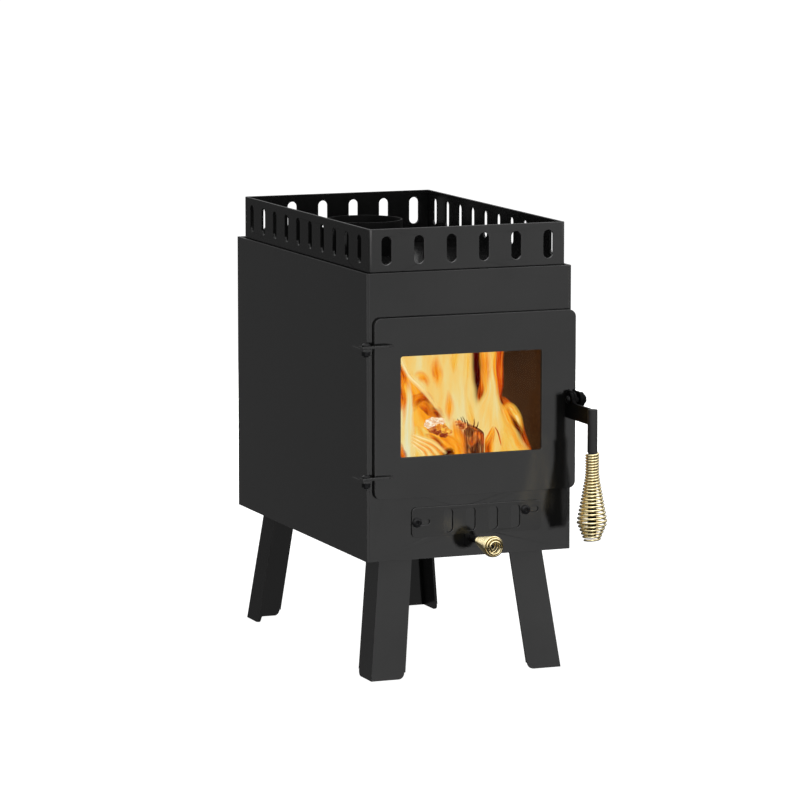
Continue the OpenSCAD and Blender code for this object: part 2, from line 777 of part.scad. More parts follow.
module clip_screws() {
    color(steel) clip_places() {
        bar_y(0, door_back - 2.8, clip_mid, clip_screw_d, 2.8 + clip_t);
        translate([0, door_back + clip_t, clip_mid]) rotate([-90, 0, 0])
            button_head(clip_screw_d * 1.7, clip_screw_d * 0.5, clip_screw_d * 0.6);
    }
}
module door_seal() {
    a = seal_in;
    b = a + seal_w;
    color([0.2, 0.2, 0.2]) plate_y(door_back, seal_t) difference() {
        soft_area(open_x0 - b, open_x1 + b, open_z0 - b, open_z1 + b, window_r + a);
        soft_area(open_x0 - a, open_x1 + a, open_z0 - a, open_z1 + a, window_r);
    }
}

// Latch: two ears on the door carry a shaft with the handle arm and the hook
module ear(x) {
    plate_x(x, ear_t) difference() {
        union() {
            translate([shaft_y, shaft_z]) circle(ear_r);
            area(shaft_y, door_front, shaft_z - ear_r, shaft_z + ear_r);
        }
        translate([shaft_y, shaft_z]) circle(d = latch_shaft_d + 2 * pin_play);
    }
}
module latch_ear_inner() {
    color(steel) ear(ear_x0);
}
module latch_ear_outer() {
    color(steel) ear(ear_x1);
}
module latch_arm() {
    root_y = door_front - arm_clear;
    color(steel) difference() {
        plate_x(arm_x, arm_t) difference() {
            union() {
                translate([shaft_y, shaft_z]) circle(arm_eye_r);
                area(rod_y, root_y, arm_low, arm_top);
                polygon([[root_y, arm_top - 1], [root_y, arm_top + 0.6],
                    [shaft_y + arm_eye_r * cos(38), shaft_z + arm_eye_r * sin(38)], [shaft_y, shaft_z],
                    [shaft_y, arm_top - 1]]);
                polygon([[shaft_y, shaft_z], [shaft_y - arm_eye_r * cos(8), shaft_z + arm_eye_r * sin(8)],
                    [shaft_y - arm_eye_r - 3.5, arm_top + 0.8], [shaft_y - arm_eye_r - 8, arm_top],
                    [shaft_y, arm_top - 1]]);
            }
            translate([shaft_y, shaft_z]) circle(d = latch_shaft_d + 2 * bolt_play);
        }
        bar_z(rod_x, rod_y, arm_low - 1, rod_d + 2 * bolt_play, arm_h + 2);
        translate([arm_x - 1, rod_y - rod_d, arm_low - 1]) cube([arm_t + 2, rod_d, arm_h + 2]);
    }
}
module latch_hook() {
    low = catch_z - catch_d / 2 - hook_rest;
    bar_low = shaft_z - arm_eye_r;
    y_pin0 = catch_y - catch_d / 2 - hook_clear;
    y_pin1 = catch_y + catch_d / 2 + 2 * hook_clear;
    y_end = y_pin1 + hook_nose;
    color(steel) plate_x(hook_x, hook_t) difference() {
        union() {
            translate([shaft_y, shaft_z]) circle(arm_eye_r);
            area(shaft_y, y_pin1, bar_low, bar_low + hook_h);
            polygon([[y_pin1 - 1, bar_low], [y_end - 2, bar_low], [y_end, bar_low + 2], [y_end, catch_z],
                [y_pin1 + 1.2, catch_z + 3.2], [y_pin1 - 1, catch_z + 3.2]]);
        }
        soft_area(y_pin0, y_pin1, low, shaft_z + 20, 1.5);
        translate([shaft_y, shaft_z]) circle(d = latch_shaft_d + 2 * bolt_play);
    }
}
module latch_shaft() {
    end = hook_x + hook_t + play + latch_nut_t + 1;
    color(steel) {
        translate([arm_x - play, shaft_y, shaft_z]) rotate([0, -90, 0])
            button_head(latch_shaft_d * head_w, latch_shaft_d * head_t, latch_shaft_d * socket_w);
        bar_x(arm_x - play, shaft_y, shaft_z, latch_shaft_d, end - arm_x + play);
    }
}
module latch_nut() {
    color(steel) difference() {
        translate([hook_x + hook_t + play, shaft_y, shaft_z]) rotate([0, 90, 0])
            hex(latch_shaft_d * nut_w, latch_nut_t);
        bar_x(hook_x, shaft_y, shaft_z, latch_shaft_d + 2 * bolt_play, 20);
    }
}
module catch_pin() {
    color(steel) bar_x(half_w, catch_y, catch_z, catch_d, catch_len);
}

// Rod and coiled grip of the handle
module latch_rod() {
    low = grip_top - grip_len + rod_short;
    color(steel) translate([rod_x, rod_y, 0]) {
        translate([0, 0, low]) cylinder(d = rod_core_d, h = shoulder_z - low + 1);
        translate([0, 0, shoulder_z]) cylinder(d = rod_d, h = rod_bare - 0.6);
        translate([0, 0, arm_top - 0.6]) cylinder(d1 = rod_d, d2 = rod_d - 1.2, h = 0.6);
    }
}
grip_table = coil_table(
    [[grip_wire_d / 2, (grip_neck_d - grip_wire_d) / 2], [grip_neck_len, (grip_neck_d - grip_wire_d) / 2],
        [grip_wide_at, (grip_wide_d - grip_wire_d) / 2], [grip_wide_at + 2, (grip_wide_d - grip_wire_d) / 2],
        [grip_len - grip_wire_d / 2, (grip_end_d - grip_wire_d) / 2]],
    [[0, grip_neck_pitch], [grip_neck_len, grip_neck_pitch], [grip_wide_at, grip_wide_pitch],
        [grip_len, grip_end_pitch]]);
grip_rings = coil_rings(with_tails(coil_axis(grip_table, 0), grip_wire_d), grip_wire_d);
echo(grip_turns = grip_table[len(grip_table) - 1][0], grip_least_gap = least_gap(grip_rings));
module grip_coil() {
    color(brass) translate([rod_x, rod_y, grip_top]) rotate([180, 0, 0]) wire(grip_rings);
}

// Air slider with its screws, stud and coiled knob
module air_slider_plate() {
    color(steel) plate_y(slider_y, slider_t) difference() {
        union() {
            soft_area(slider_x0, slider_x1, plate_z - slider_h / 2, plate_z + slider_h / 2,
                slider_corner_r);
            soft_area(tab_x - tab_w / 2, tab_x + tab_w / 2, plate_z - slider_h / 2 - tab_h,
                plate_z - slider_h / 2 + 2 * tab_r, tab_r);
        }
        air_holes(0);
        for (i = [0, 1]) slot_area(slot_x[i] + slot_len / 2, screw_z[i], slot_len, slot_w);
    }
}
module slider_screws() {
    seat = slider_y - play;
    color(steel) for (i = [0, 1]) {
        bar_y(screw_x[i], seat, screw_z[i], slider_screw_d, front_y + wall_t + nut_h + 2 - seat);
        translate([screw_x[i], seat, screw_z[i]]) rotate([90, 0, 0])
            button_head(slider_head_w, slider_screw_d * head_t, slider_screw_d * socket_w);
    }
}
module slider_nuts() {
    color(steel) for (i = [0, 1]) difference() {
        translate([screw_x[i], front_y + wall_t, screw_z[i]]) rotate([-90, 0, 0])
            hex(slider_screw_d * nut_w, nut_h);
        bar_y(screw_x[i], front_y, screw_z[i], slider_screw_d + 2 * bolt_play, 20);
    }
}
module knob_stud() {
    color(steel) {
        bar_y(tab_x, stud_y, knob_z, stud_d, stud_len);
        bar_y(tab_x, stud_y - knob_len + knob_wide_at, knob_z, stud_core_d, knob_len - knob_wide_at);
    }
}
knob_front = knob_len - knob_wide_at;
knob_wide_r = (knob_wide_d - knob_wire_d) / 2;
knob_end_r = (knob_end_d - knob_wire_d) / 2;
knob_table = coil_table(
    concat([[knob_wire_d / 2, (knob_neck_d - knob_wire_d) / 2]],
        [for (a = [0 : 15 : 90]) [knob_front + (knob_wide_at - knob_wire_d / 2) * sin(a),
            knob_end_r + (knob_wide_r - knob_end_r) * cos(a)]]),
    [[0, knob_pitch], [knob_front - 6, knob_pitch], [knob_front, knob_end_pitch], [knob_len, knob_end_pitch]]);
knob_rings = coil_rings(with_tails(coil_axis(knob_table, 0), knob_wire_d), knob_wire_d);
echo(knob_turns = knob_table[len(knob_table) - 1][0], knob_least_gap = least_gap(knob_rings));
module knob_coil() {
    color(brass) translate([tab_x, stud_y - coil_play, knob_z]) rotate([90, 0, 0]) wire(knob_rings);
}

place() left_side_panel();
place() right_side_panel();
place() front_panel();
place() back_panel();
place() bottom_plate();
place() top_plate();
place() flue_collar();
place() rail_front();
place() rail_back();
place() rail_left();
place() rail_right();
place() leg_front_left();
place() leg_front_right();
place() leg_back_left();
place() leg_back_right();
place() leg_bolts();
place() leg_nuts();
place() fire_grate();
place() grate_ledge_left();
place() grate_ledge_right();
place() smoke_baffle();
place() baffle_ledge_left();
place() baffle_ledge_right();
place() hinge_bracket_upper();
place() hinge_bracket_lower();
place() hinge_bolt_upper();
place() hinge_bolt_lower();
place() hinge_nut_upper();
place() hinge_nut_lower();
place() catch_pin();
place() slider_screws();
place() slider_nuts();
place() door_panel();
place() door_glass();
place() glass_tape();
place() glass_clips();
place() clip_screws();
place() door_seal();
place() hinge_tongue_upper();
place() hinge_tongue_lower();
place() latch_ear_inner();
place() latch_ear_outer();
place() latch_arm();
place() latch_hook();
place() latch_shaft();
place() latch_nut();
place() latch_rod();
place() grip_coil();
place() air_slider_plate();
place() knob_stud();
place() knob_coil();
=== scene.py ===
# %% [markdown]
# # A small steel sauna stove, dressed for its portrait
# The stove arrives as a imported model: every plate, bolt, hinge and lever is already at its real
# size and place. This lesson adds what the eye needs on top of it: softened edges, paint, soot,
# glass, brass wire and a burning fire. Every length is in metres, X points right, -Y is the
# stove's front and Z points up.

# %% Load the stove
import math

import bmesh
import bpy
from mathutils import Matrix, Vector, noise


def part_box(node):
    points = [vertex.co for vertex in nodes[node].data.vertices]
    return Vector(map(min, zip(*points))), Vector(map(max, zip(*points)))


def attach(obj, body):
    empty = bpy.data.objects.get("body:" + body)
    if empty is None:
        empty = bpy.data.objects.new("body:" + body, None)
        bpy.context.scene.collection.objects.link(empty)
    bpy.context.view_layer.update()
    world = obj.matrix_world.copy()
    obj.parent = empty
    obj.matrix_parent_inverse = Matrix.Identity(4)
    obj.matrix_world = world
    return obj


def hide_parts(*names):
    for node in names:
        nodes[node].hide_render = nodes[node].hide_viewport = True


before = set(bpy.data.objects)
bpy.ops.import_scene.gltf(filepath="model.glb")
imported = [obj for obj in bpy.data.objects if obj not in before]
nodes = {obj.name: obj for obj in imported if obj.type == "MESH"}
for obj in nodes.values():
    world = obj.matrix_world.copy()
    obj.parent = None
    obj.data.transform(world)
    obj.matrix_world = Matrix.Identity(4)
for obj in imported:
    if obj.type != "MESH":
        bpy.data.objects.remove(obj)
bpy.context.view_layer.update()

# %% [markdown]
# ## Where the pieces are
# Places could be typed in as numbers. They are read from the model instead, so that a new piece
# stays on the plate, rod or grate that carries it when the stove is built in another size. A box
# gives its lowest and highest corner.

# %% Places read from the model
MM = 0.001
WINDOW_LAP = 10.0 * MM
door_low, door_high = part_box("door_panel")
glass_low, glass_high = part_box("door_glass")
grate_low, grate_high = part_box("fire_grate")
right_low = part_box("right_side_panel")[0]
window_left = glass_low.x + WINDOW_LAP
window_right = glass_high.x - WINDOW_LAP
window_foot = glass_low.z + WINDOW_LAP
window_head = glass_high.z - WINDOW_LAP
window_wide = window_right - window_left
window_tall = window_head - window_foot
firebox_low = (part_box("left_side_panel")[1].x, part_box("front_panel")[1].y, right_low.z)
firebox_high = (right_low.x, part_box("back_panel")[0].y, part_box("top_plate")[0].z)
print("window", round(window_wide, 4), "by", round(window_tall, 4))
print("firebox", [round(high - low, 4) for low, high in zip(firebox_low, firebox_high)])

# %% [markdown]
# ## The camera
# The picture is taken from the stove's front left and slightly above, through a long lens, so
# that upright edges stay nearly parallel. A constraint could aim the camera, but two angles and
# a place say the same with nothing left to solve.

# %% Camera
VIEW_TURN = math.radians(-21.694)
VIEW_RISE = math.radians(8.156)
CAMERA_PLACE = Vector((-2.0829, -5.1853, 1.1202))
LENS = 201.39
SENSOR_WIDTH = 36

to_camera = Vector((
    math.sin(VIEW_TURN) * math.cos(VIEW_RISE),
    -math.cos(VIEW_TURN) * math.cos(VIEW_RISE),
    math.sin(VIEW_RISE),
))
camera_data = bpy.data.cameras.new("portrait_camera")
camera_data.lens = LENS
camera_data.sensor_width = SENSOR_WIDTH
camera = bpy.data.objects.new("portrait_camera", camera_data)
camera.location = CAMERA_PLACE
camera.rotation_euler = (-to_camera).to_track_quat("-Z", "Y").to_euler()
bpy.context.scene.collection.objects.link(camera)
bpy.context.scene.camera = camera
bpy.context.scene.view_settings.view_transform = "Standard"
print("camera", tuple(round(v, 3) for v in CAMERA_PLACE))

# %% [markdown]
# ## Shader graphs as expressions
# A finish is a graph of nodes. Linking each one by hand soon hides what the graph works out, so
# it is written as arithmetic here: a Signal wraps one socket, and every operator on it adds a
# Math node. A Graph makes any other node with a single method, and a Finish is the graph of one
# material. A value that is the same all over the surface is set on the shader's own socket.

# %% Signals and finishes
class Signal:
    def __init__(self, graph, socket):
        self.graph = graph
        self.socket = socket

    def _math(self, operation, a, b=0.0):
        return self.graph.add("Math", {"operation": operation}, {0: a, 1: b})

    def __add__(self, other):
        return self._math("ADD", self, other)

    def __radd__(self, other):
        return self._math("ADD", other, self)

    def __sub__(self, other):
        return self._math("SUBTRACT", self, other)

    def __rsub__(self, other):
        return self._math("SUBTRACT", other, self)

    def __mul__(self, other):
        return self._math("MULTIPLY", self, other)

    def __rmul__(self, other):
        return self._math("MULTIPLY", other, self)

    def __gt__(self, other):
        return self._math("GREATER_THAN", self, other)

    def __lt__(self, other):
        return self._math("LESS_THAN", self, other)

    def __abs__(self):
        return self._math("ABSOLUTE", self)


class Graph:
    def __init__(self, tree):
        self.tree = tree

    def add(self, kind, settings=None, inputs=None, output=0):
        node = self.tree.nodes.new("ShaderNode" + kind)
        for key, value in (settings or {}).items():
            if key == "stops":
                self._set_stops(node.color_ramp, value)
            else:
                setattr(node, key, value)
        for key, value in (inputs or {}).items():
            self.feed(node.inputs[key], value)
        return Signal(self, node.outputs[output])

    def _set_stops(self, ramp, stops):
        while len(ramp.elements) < len(stops):
            ramp.elements.new(1.0)
        for element, (place, colour) in zip(ramp.elements, stops):
            element.position = place
            element.color = (*colour, 1.0)

    def feed(self, socket, value):
        if isinstance(value, Signal):
            self.tree.links.new(value.socket, socket)
        elif isinstance(value, tuple) and len(value) == 3 and socket.type == "RGBA":
            socket.default_value = (*value, 1.0)
        else:
            socket.default_value = value

    def split(self, vector):
        """The three parts of a vector, each as a Signal."""
        node = self.add("SeparateXYZ", {}, {0: vector}).socket.node
        return [Signal(self, socket) for socket in node.outputs]

    def span(self, value, low, high, out_low=0.0, out_high=1.0):
        return self.add("MapRange", {"clamp": True}, {
            "Value": value, "From Min": low, "From Max": high,
            "To Min": out_low, "To Max": out_high,
        })


class Finish(Graph):
    def __init__(self, name):
        self.material = bpy.data.materials.new(name)
        self.material.use_nodes = True
        super().__init__(self.material.node_tree)
        self.shader = self.tree.nodes["Principled BSDF"]

    def paint(self, **sockets):
        for name, value in sockets.items():
            self.feed(self.shader.inputs[name.replace("_", " ")], value)
        return self.material

    def place(self, scale=None):
        spot = self.add("TexCoord", output="Object")
        return self.add("Mapping", {}, {"Vector": spot, "Scale": scale}) if scale else spot

    def grain(self, where, scale, detail=2.0, rough=0.5):
        return self.add("TexNoise", {}, {
            "Vector": where, "Scale": scale, "Detail": detail, "Roughness": rough,
        })

    def ramp(self, value, stops):
        return self.add("ValToRGB", {"stops": stops}, {"Fac": value})

    def blend(self, share, first, second):
        return self.add("Mix", {"data_type": "RGBA"}, {0: share, 6: first, 7: second}, output=2)

    def bump(self, height, depth, strength):
        return self.add("Bump", {}, {"Height": height, "Distance": depth, "Strength": strength})


def grey(level):
    return (level, level, level)


print("helpers ready")

# %% [markdown]
# ## Stage and light
# The stove stands on a plain pale floor in an even white room. A lamp almost head-on lights the
# front and draws the soft shadows of the handle and the knob on the door, and a second one
# behind keeps the back readable. What the satin paint mirrors is set apart from what fills the
# shadows: a bright ceiling for edges and level plates, and a much dimmer lower half, so that the
# upright plates stay deep and black. Four soft boxes are seen in reflections alone: brass shows
# only what it mirrors, and without them it would look brown and flat.

# %% Floor
FLOOR_REACH = 40.0


def finish_mesh(name, shape, material):
    """Turns a bmesh into an object of the scene, at the origin."""
    mesh = bpy.data.meshes.new(name)
    shape.to_mesh(mesh)
    shape.free()
    mesh.materials.append(material)
    piece = bpy.data.objects.new(name, mesh)
    bpy.context.scene.collection.objects.link(piece)
    return piece


pale = Finish("pale_floor").paint(
    Base_Color=grey(0.3), Roughness=0.9, Specular_IOR_Level=0.0,
    Emission_Color=grey(1.0), Emission_Strength=1.0,
)
shape = bmesh.new()
bmesh.ops.create_grid(shape, x_segments=1, y_segments=1, size=FLOOR_REACH)
floor = finish_mesh("studio_floor", shape, pale)
floor.visible_glossy = False
floor.visible_diffuse = False
print("floor", 2 * FLOOR_REACH, "m wide")

# %% Room light
SKY_GLOSS = 1.3
FRONT_GLOSS = 0.03
REAR_GLOSS = 0.128
FRONT_FILL = 0.12
REAR_FILL = 0.5
world = bpy.data.worlds.new("studio_room")
world.use_nodes = True
bpy.context.scene.world = world
room = Graph(world.node_tree)


def even_light(strength):
    return room.add("Background", {}, {"Color": grey(1.0), "Strength": strength})


def either_light(share, first, second):
    return room.add("MixShader", {}, {0: share, 1: first, 2: second})


_, back, up = room.split(room.add("TexCoord", output="Generated"))
sky = room.span(up, 0.1, 0.5, 0.0, SKY_GLOSS)
level = room.span(back, -0.3, 0.3, FRONT_GLOSS, REAR_GLOSS)
fill = even_light(room.span(back, -0.1, 0.5, FRONT_FILL, REAR_FILL))
lit = either_light(room.add("LightPath", output="Is Glossy Ray"), fill, even_light(sky + level))
seen = either_light(room.add("LightPath", output="Is Camera Ray"), lit, even_light(1.0))
room.feed(room.tree.nodes["World Output"].inputs["Surface"], seen)
print("room fill", FRONT_FILL, REAR_FILL, "sky in reflections", SKY_GLOSS)

# %% Lamps
def lamp(name, place, aim, size, power):
    data = bpy.data.lights.new(name, "AREA")
    data.shape = "DISK"
    data.size = size
    data.energy = power
    piece = bpy.data.objects.new(name, data)
    piece.location = place
    piece.rotation_euler = (aim - place).to_track_quat("-Z", "Y").to_euler()
    piece.visible_camera = False
    bpy.context.scene.collection.objects.link(piece)
    return piece


FRONT_PLACE = Vector((0.30, -2.1, 0.12))
FRONT_AIM = Vector((0.0, -0.18, 0.33))
REAR_PLACE = Vector((0.9, 2.4, 0.9))
REAR_AIM = Vector((0.0, 0.23, 0.3))
for title, place, aim, size, power in (("front_lamp", FRONT_PLACE, FRONT_AIM, 0.13, 51.0),
                                       ("rear_lamp", REAR_PLACE, REAR_AIM, 0.8, 60.0)):
    lamp(title, place, aim, size, power).visible_glossy = False
print("lamps at", tuple(FRONT_PLACE), tuple(REAR_PLACE))

# %% Soft boxes
SOFT_AIM = Vector((0.05, -0.3, 0.27))
SOFT_DISTANCE = 2.0
SOFT_SIZE = 1.5
soft_boxes = [("left", (-0.8, -0.5, 0.35), 2.0), ("right", (0.6, -0.7, 0.45), 7.0),
              ("high", (-0.1, -0.8, 0.6), 7.0), ("near", (-0.37, -0.92, 0.16), 7.5)]
for title, side, power in soft_boxes:
    spot = SOFT_AIM + Vector(side).normalized() * SOFT_DISTANCE
    lamp("soft_box_" + title, spot, SOFT_AIM, SOFT_SIZE, power).visible_diffuse = False
print("soft boxes", len(soft_boxes))

# %% [markdown]
# ## Stove paint
# The plates are sprayed with black heat-resistant paint. It is not quite even: the film has a
# fine orange peel under a millimetre across, a dry patch here and there where it cured hotter,
# and inside the firebox it is buried under brown-black soot. The soot is chosen by place, with a
# mask that is one inside the firebox walls and nought outside, and a second mask makes the sawn
# edge of the window near-black and dull: the near-black is painted shade that hides the fire's
# glow on that edge. One function mixes them all, and takes the film's colour, how rough it is and
# how strongly it shines: the flue collar has burnt duller than the plates, and the latch and its
# rod are dulled by hands. Darker copies of the paint are painted shade: the flue collar, the
# latch, its rod, the rails' sides, the back legs and the air slider lie in shade, so their paint
# is set darker than the plates.

# %% Stove paint
SOOT_EDGE = 1.0 * MM
CUT_EDGE = 0.35 * MM
PEEL_GRAIN = 1400
CLOUD_GRAIN = 9
CRUST_GRAIN = 160
SOOT_ROUGH = 0.82
CUT_ROUGH = 0.95
PEEL_DEPTH = 0.06 * MM


def box_mask(finish, low, high):
    inside = 1.0
    for way, start, end in zip(finish.split(finish.place()), low, high):
        inside = (way > start) * (way < end) * inside
    return inside


def stove_paint(name, level, gloss, shine=0.5):
    finish = Finish(name)
    spot = finish.place()
    peel = finish.grain(spot, PEEL_GRAIN, 2.0, 0.55)
    cloud = finish.grain(spot, CLOUD_GRAIN, 3.0, 0.5)
    crust = finish.grain(spot, CRUST_GRAIN, 6.0, 0.65)
    soot = box_mask(finish, [v - SOOT_EDGE for v in firebox_low], [v + SOOT_EDGE for v in firebox_high])
    # The window's sawn edge is painted near-black: painted shade that hides the fire's glow on it.
    cut = box_mask(finish, (window_left - CUT_EDGE, door_low.y + CUT_EDGE, window_foot - CUT_EDGE),
                   (window_right + CUT_EDGE, door_high.y, window_head + CUT_EDGE))
    clean = finish.ramp(cloud, [(0.3, grey(level * 0.95)), (0.75, grey(level * 1.06))])
    dirty = finish.ramp(crust, [(0.35, (0.0100, 0.0055, 0.0025)), (0.7, (0.0350, 0.0190, 0.0080))])
    satin = finish.span(cloud, 0.3, 0.7, gloss, gloss + 0.05)
    matt = satin + (SOOT_ROUGH - satin) * soot
    relief = peel * (1 - soot) + crust * soot * 4.0
    return finish.paint(
        Base_Color=finish.blend(cut, finish.blend(soot, clean, dirty), grey(0.003)),
        Roughness=matt + (CUT_ROUGH - matt) * cut,
        Normal=finish.bump(relief, PEEL_DEPTH, 0.5), Specular_IOR_Level=shine,
    )


paint = stove_paint("stove_paint", 0.0303, 0.14)
# The darker copies below are painted shade: their level is set below the plates' for parts that lie in
# shade.
flue_shaded_paint = stove_paint("flue_shaded_paint", 0.010, 0.50, shine=0.05)
latch_shaded_paint = stove_paint("latch_shaded_paint", 0.002, 0.45, shine=0.05)
rod_shaded_paint = stove_paint("rod_shaded_paint", 0.022, 0.45, shine=0.10)
rail_shaded_paint = stove_paint("rail_shaded_paint", 0.016, 0.18, shine=0.22)
slider_shaded_paint = stove_paint("slider_shaded_paint", 0.0272, 0.14)
print("made", [m.name for m in (paint, flue_shaded_paint, latch_shaded_paint, rod_shaded_paint, rail_shaded_paint, slider_shaded_paint)])

# %% [markdown]
# ## Blackened hardware
# Bolts, nuts and screws are blackened steel rather than painted: dipped in hot oil or salts, which
# leaves a dark skin thinner than any paint. One flat dark grey would do from afar. Here a fine
# cloudy film varies both its shade and its shine, as on screws that a tool has touched.

# %% Blackened hardware
def blackened_steel():
    finish = Finish("blackened_steel")
    film = finish.grain(finish.place(), 420, 4.0, 0.6)
    return finish.paint(
        Base_Color=finish.ramp(film, [(0.3, (0.003, 0.003, 0.0035)), (0.75, (0.009, 0.009, 0.0095))]),
        Roughness=finish.span(film, 0.3, 0.75, 0.32, 0.46),
        Normal=finish.bump(film, 0.05 * MM, 0.4), Specular_IOR_Level=0.25,
    )


hardware = blackened_steel()
print("made", hardware.name)

# %% [markdown]
# ## Cast iron of the grate
# The loose grate is rough cast iron, seen through the door when it stands open. Its skin is
# grainy on two scales, so two noises are added for the relief, and the fire has dusted it with
# grey ash, which shows where the coarse noise is high.

# %% Cast iron
def cast_iron():
    finish = Finish("cast_iron")
    spot = finish.place()
    coarse = finish.grain(spot, 240, 5.0, 0.6)
    fine = finish.grain(spot, 1300, 2.0, 0.5)
    ash = finish.span(coarse, 0.52, 0.68)
    return finish.paint(
        Base_Color=finish.blend(ash, (0.020, 0.018, 0.017), (0.110, 0.095, 0.085)),
        Roughness=finish.span(fine, 0.3, 0.7, 0.62, 0.85),
        Normal=finish.bump(coarse + fine * 0.4, 0.4 * MM, 0.8),
    )


iron = cast_iron()
print("made", iron.name)

# %% [markdown]
# ## Glass fibre
# The door's seal and the tape behind the glass are woven from black glass yarn. Real threads
# would be far too many faces for a strip that is seen only from close by. Two bands of waves at
# right angles draw the weave instead, in colour, shine and relief alike.

# %% Glass fibre
def glass_fibre():
    finish = Finish("glass_fibre")
    spot = finish.place()
    warp, weft = (finish.add("TexWave", {"bands_direction": way}, {
        "Vector": spot, "Scale": 260.0, "Distortion": 0.6, "Detail": 1.0,
    }, output="Fac") for way in "XZ")
    weave = warp * 0.5 + weft * 0.5
    return finish.paint(
        Base_Color=finish.ramp(weave, [(0.2, (0.012, 0.012, 0.012)), (0.85, (0.075, 0.070, 0.065))]),
        Roughness=finish.span(weave, 0.2, 0.8, 0.9, 0.7),
        Normal=finish.bump(weave, 0.3 * MM, 0.8),
    )


fibre = glass_fibre()
print("made", fibre.name)

# %% [markdown]
# ## Stove glass
# The pane is clear glass ceramic, warm in tint when seen edge on. A see-through sheet would show
# the fire as well, but without the faint mirror of real glass, so light passes through a solid
# pane. Its clearness, index and tint are one value all over. Only a thin film of smoke changes
# from place to place, as a slight haze in the roughness.

# %% Stove glass
def stove_glass():
    finish = Finish("stove_glass")
    smear = finish.grain(finish.place(), 22, 4.0, 0.6)
    return finish.paint(
        Roughness=finish.span(smear, 0.45, 0.8, 0.0, 0.06),
        Base_Color=(1.0, 0.97, 0.92), Transmission_Weight=1.0, IOR=1.15,
    )


glass = stove_glass()
print("made", glass.name)

# %% [markdown]
# ## Brass wire
# The grip and the knob are wound from brass-plated spring wire. The plating is pale gold and
# bright. Its hair-fine drawing marks follow the wire, so they are read from the wire's own map,
# and a browner tone creeps in by place where fingers don't polish it.

# %% Brass wire
def brass_wire():
    finish = Finish("brass_wire")
    along_wire = finish.add("UVMap", {"uv_map": "wire"}, {})
    drawn = finish.add("Mapping", {}, {"Vector": along_wire, "Scale": (9.0, 160.0, 1.0)})
    marks = finish.grain(drawn, 1.0, 2.0, 0.5)
    tarnish = finish.grain(finish.place(), 130, 4.0, 0.6)
    return finish.paint(
        Base_Color=finish.ramp(tarnish, [
            (0.25, (0.88, 0.72, 0.38)), (0.5, (0.93, 0.80, 0.47)), (0.8, (0.96, 0.87, 0.58)),
        ]),
        Roughness=finish.span(tarnish, 0.3, 0.75, 0.12, 0.08) + marks * 0.02,
        Normal=finish.bump(marks, 0.01 * MM, 0.04), Metallic=1.0,
    )


brass = brass_wire()
print("made", brass.name)

# %% [markdown]
# ## Dressing the model's own pieces
# Each node keeps its mesh and gets a finish in place of its plain colour. Sheet metal is never
# knife sharp: cutting and painting round every edge by a few tenths of a millimetre, and that
# round catches the light as a thin line. It could be cut into the meshes, but modifiers leave
# them as they came: a Weld joins the loose triangles, and a Bevel rounds only the edges that
# really turn. The legs' slanting corners could overshoot, so their bevel is clamped.

# %% Finishes and rounded edges
EDGE_ROUND = 0.35 * MM
EDGE_ROUND_FINE = 0.25 * MM
WELD_REACH = 0.01 * MM
TURNING_EDGE = math.radians(32)

finishes = {
    "black_steel": paint, "firebox_steel": paint, "dark_fasteners": hardware, "grate_iron": iron,
    "stove_glass": glass, "glass_fibre": fibre, "brass": brass,
}
# Pieces that get a darker copy of the paint, as painted shade.
shaded_copies = {
    "flue_collar": flue_shaded_paint, "latch_rod": rod_shaded_paint, "latch_arm": latch_shaded_paint,
    "latch_hook": latch_shaded_paint, "latch_ear_inner": latch_shaded_paint, "latch_ear_outer": latch_shaded_paint,
    "rail_left": rail_shaded_paint, "rail_right": rail_shaded_paint, "leg_back_left": rail_shaded_paint,
    "leg_back_right": rail_shaded_paint, "air_slider_plate": slider_shaded_paint,
}
small_pieces = {"leg_bolts", "leg_nuts", "hinge_bolt_upper", "hinge_bolt_lower", "hinge_nut_upper",
                "hinge_nut_lower", "slider_screws", "slider_nuts", "clip_screws", "latch_shaft",
                "latch_nut", "catch_pin"}
left_sharp = {"door_glass", "grip_coil", "knob_coil", "glass_tape", "door_seal"}


def round_edges(piece, width, clamped):
    weld = piece.modifiers.new("joined_triangles", "WELD")
    weld.merge_threshold = WELD_REACH
    bevel = piece.modifiers.new("rounded_edges", "BEVEL")
    bevel.width = width
    bevel.segments = 2
    bevel.limit_method = "ANGLE"
    bevel.angle_limit = TURNING_EDGE
    bevel.use_clamp_overlap = clamped
    bevel.harden_normals = False


for name, piece in nodes.items():
    for slot in piece.material_slots:
        kind = slot.material.name.split(".")[0] if slot.material else "black_steel"
        slot.material = shaded_copies.get(name) or finishes.get(kind, paint)
    if name not in left_sharp:
        width = EDGE_ROUND_FINE if name in small_pieces else EDGE_ROUND
        round_edges(piece, width, clamped=name.startswith("leg_"))
print("dressed", len(nodes), "pieces")

# %% [markdown]
# ## Winding the grip and the knob
# A coil is a wire's round section carried along a helix. The section is swept ring by ring:
# extrude the last ring, then move the new one onto the next place of the path with one matrix.
# The helix follows a profile of distance and radius, and the number of turns so far is the run
# along that profile divided by the distance from turn to turn.

# %% Path of a coil
COIL_SLICES = 2000
STEPS_PER_TURN = 40


def along(table, where):
    """The value of a table of places and values, read between its rows."""
    for (a, low), (b, high) in zip(table, table[1:]):
        if where <= b:
            return low + (high - low) * (where - a) / (b - a)
    return table[-1][1]


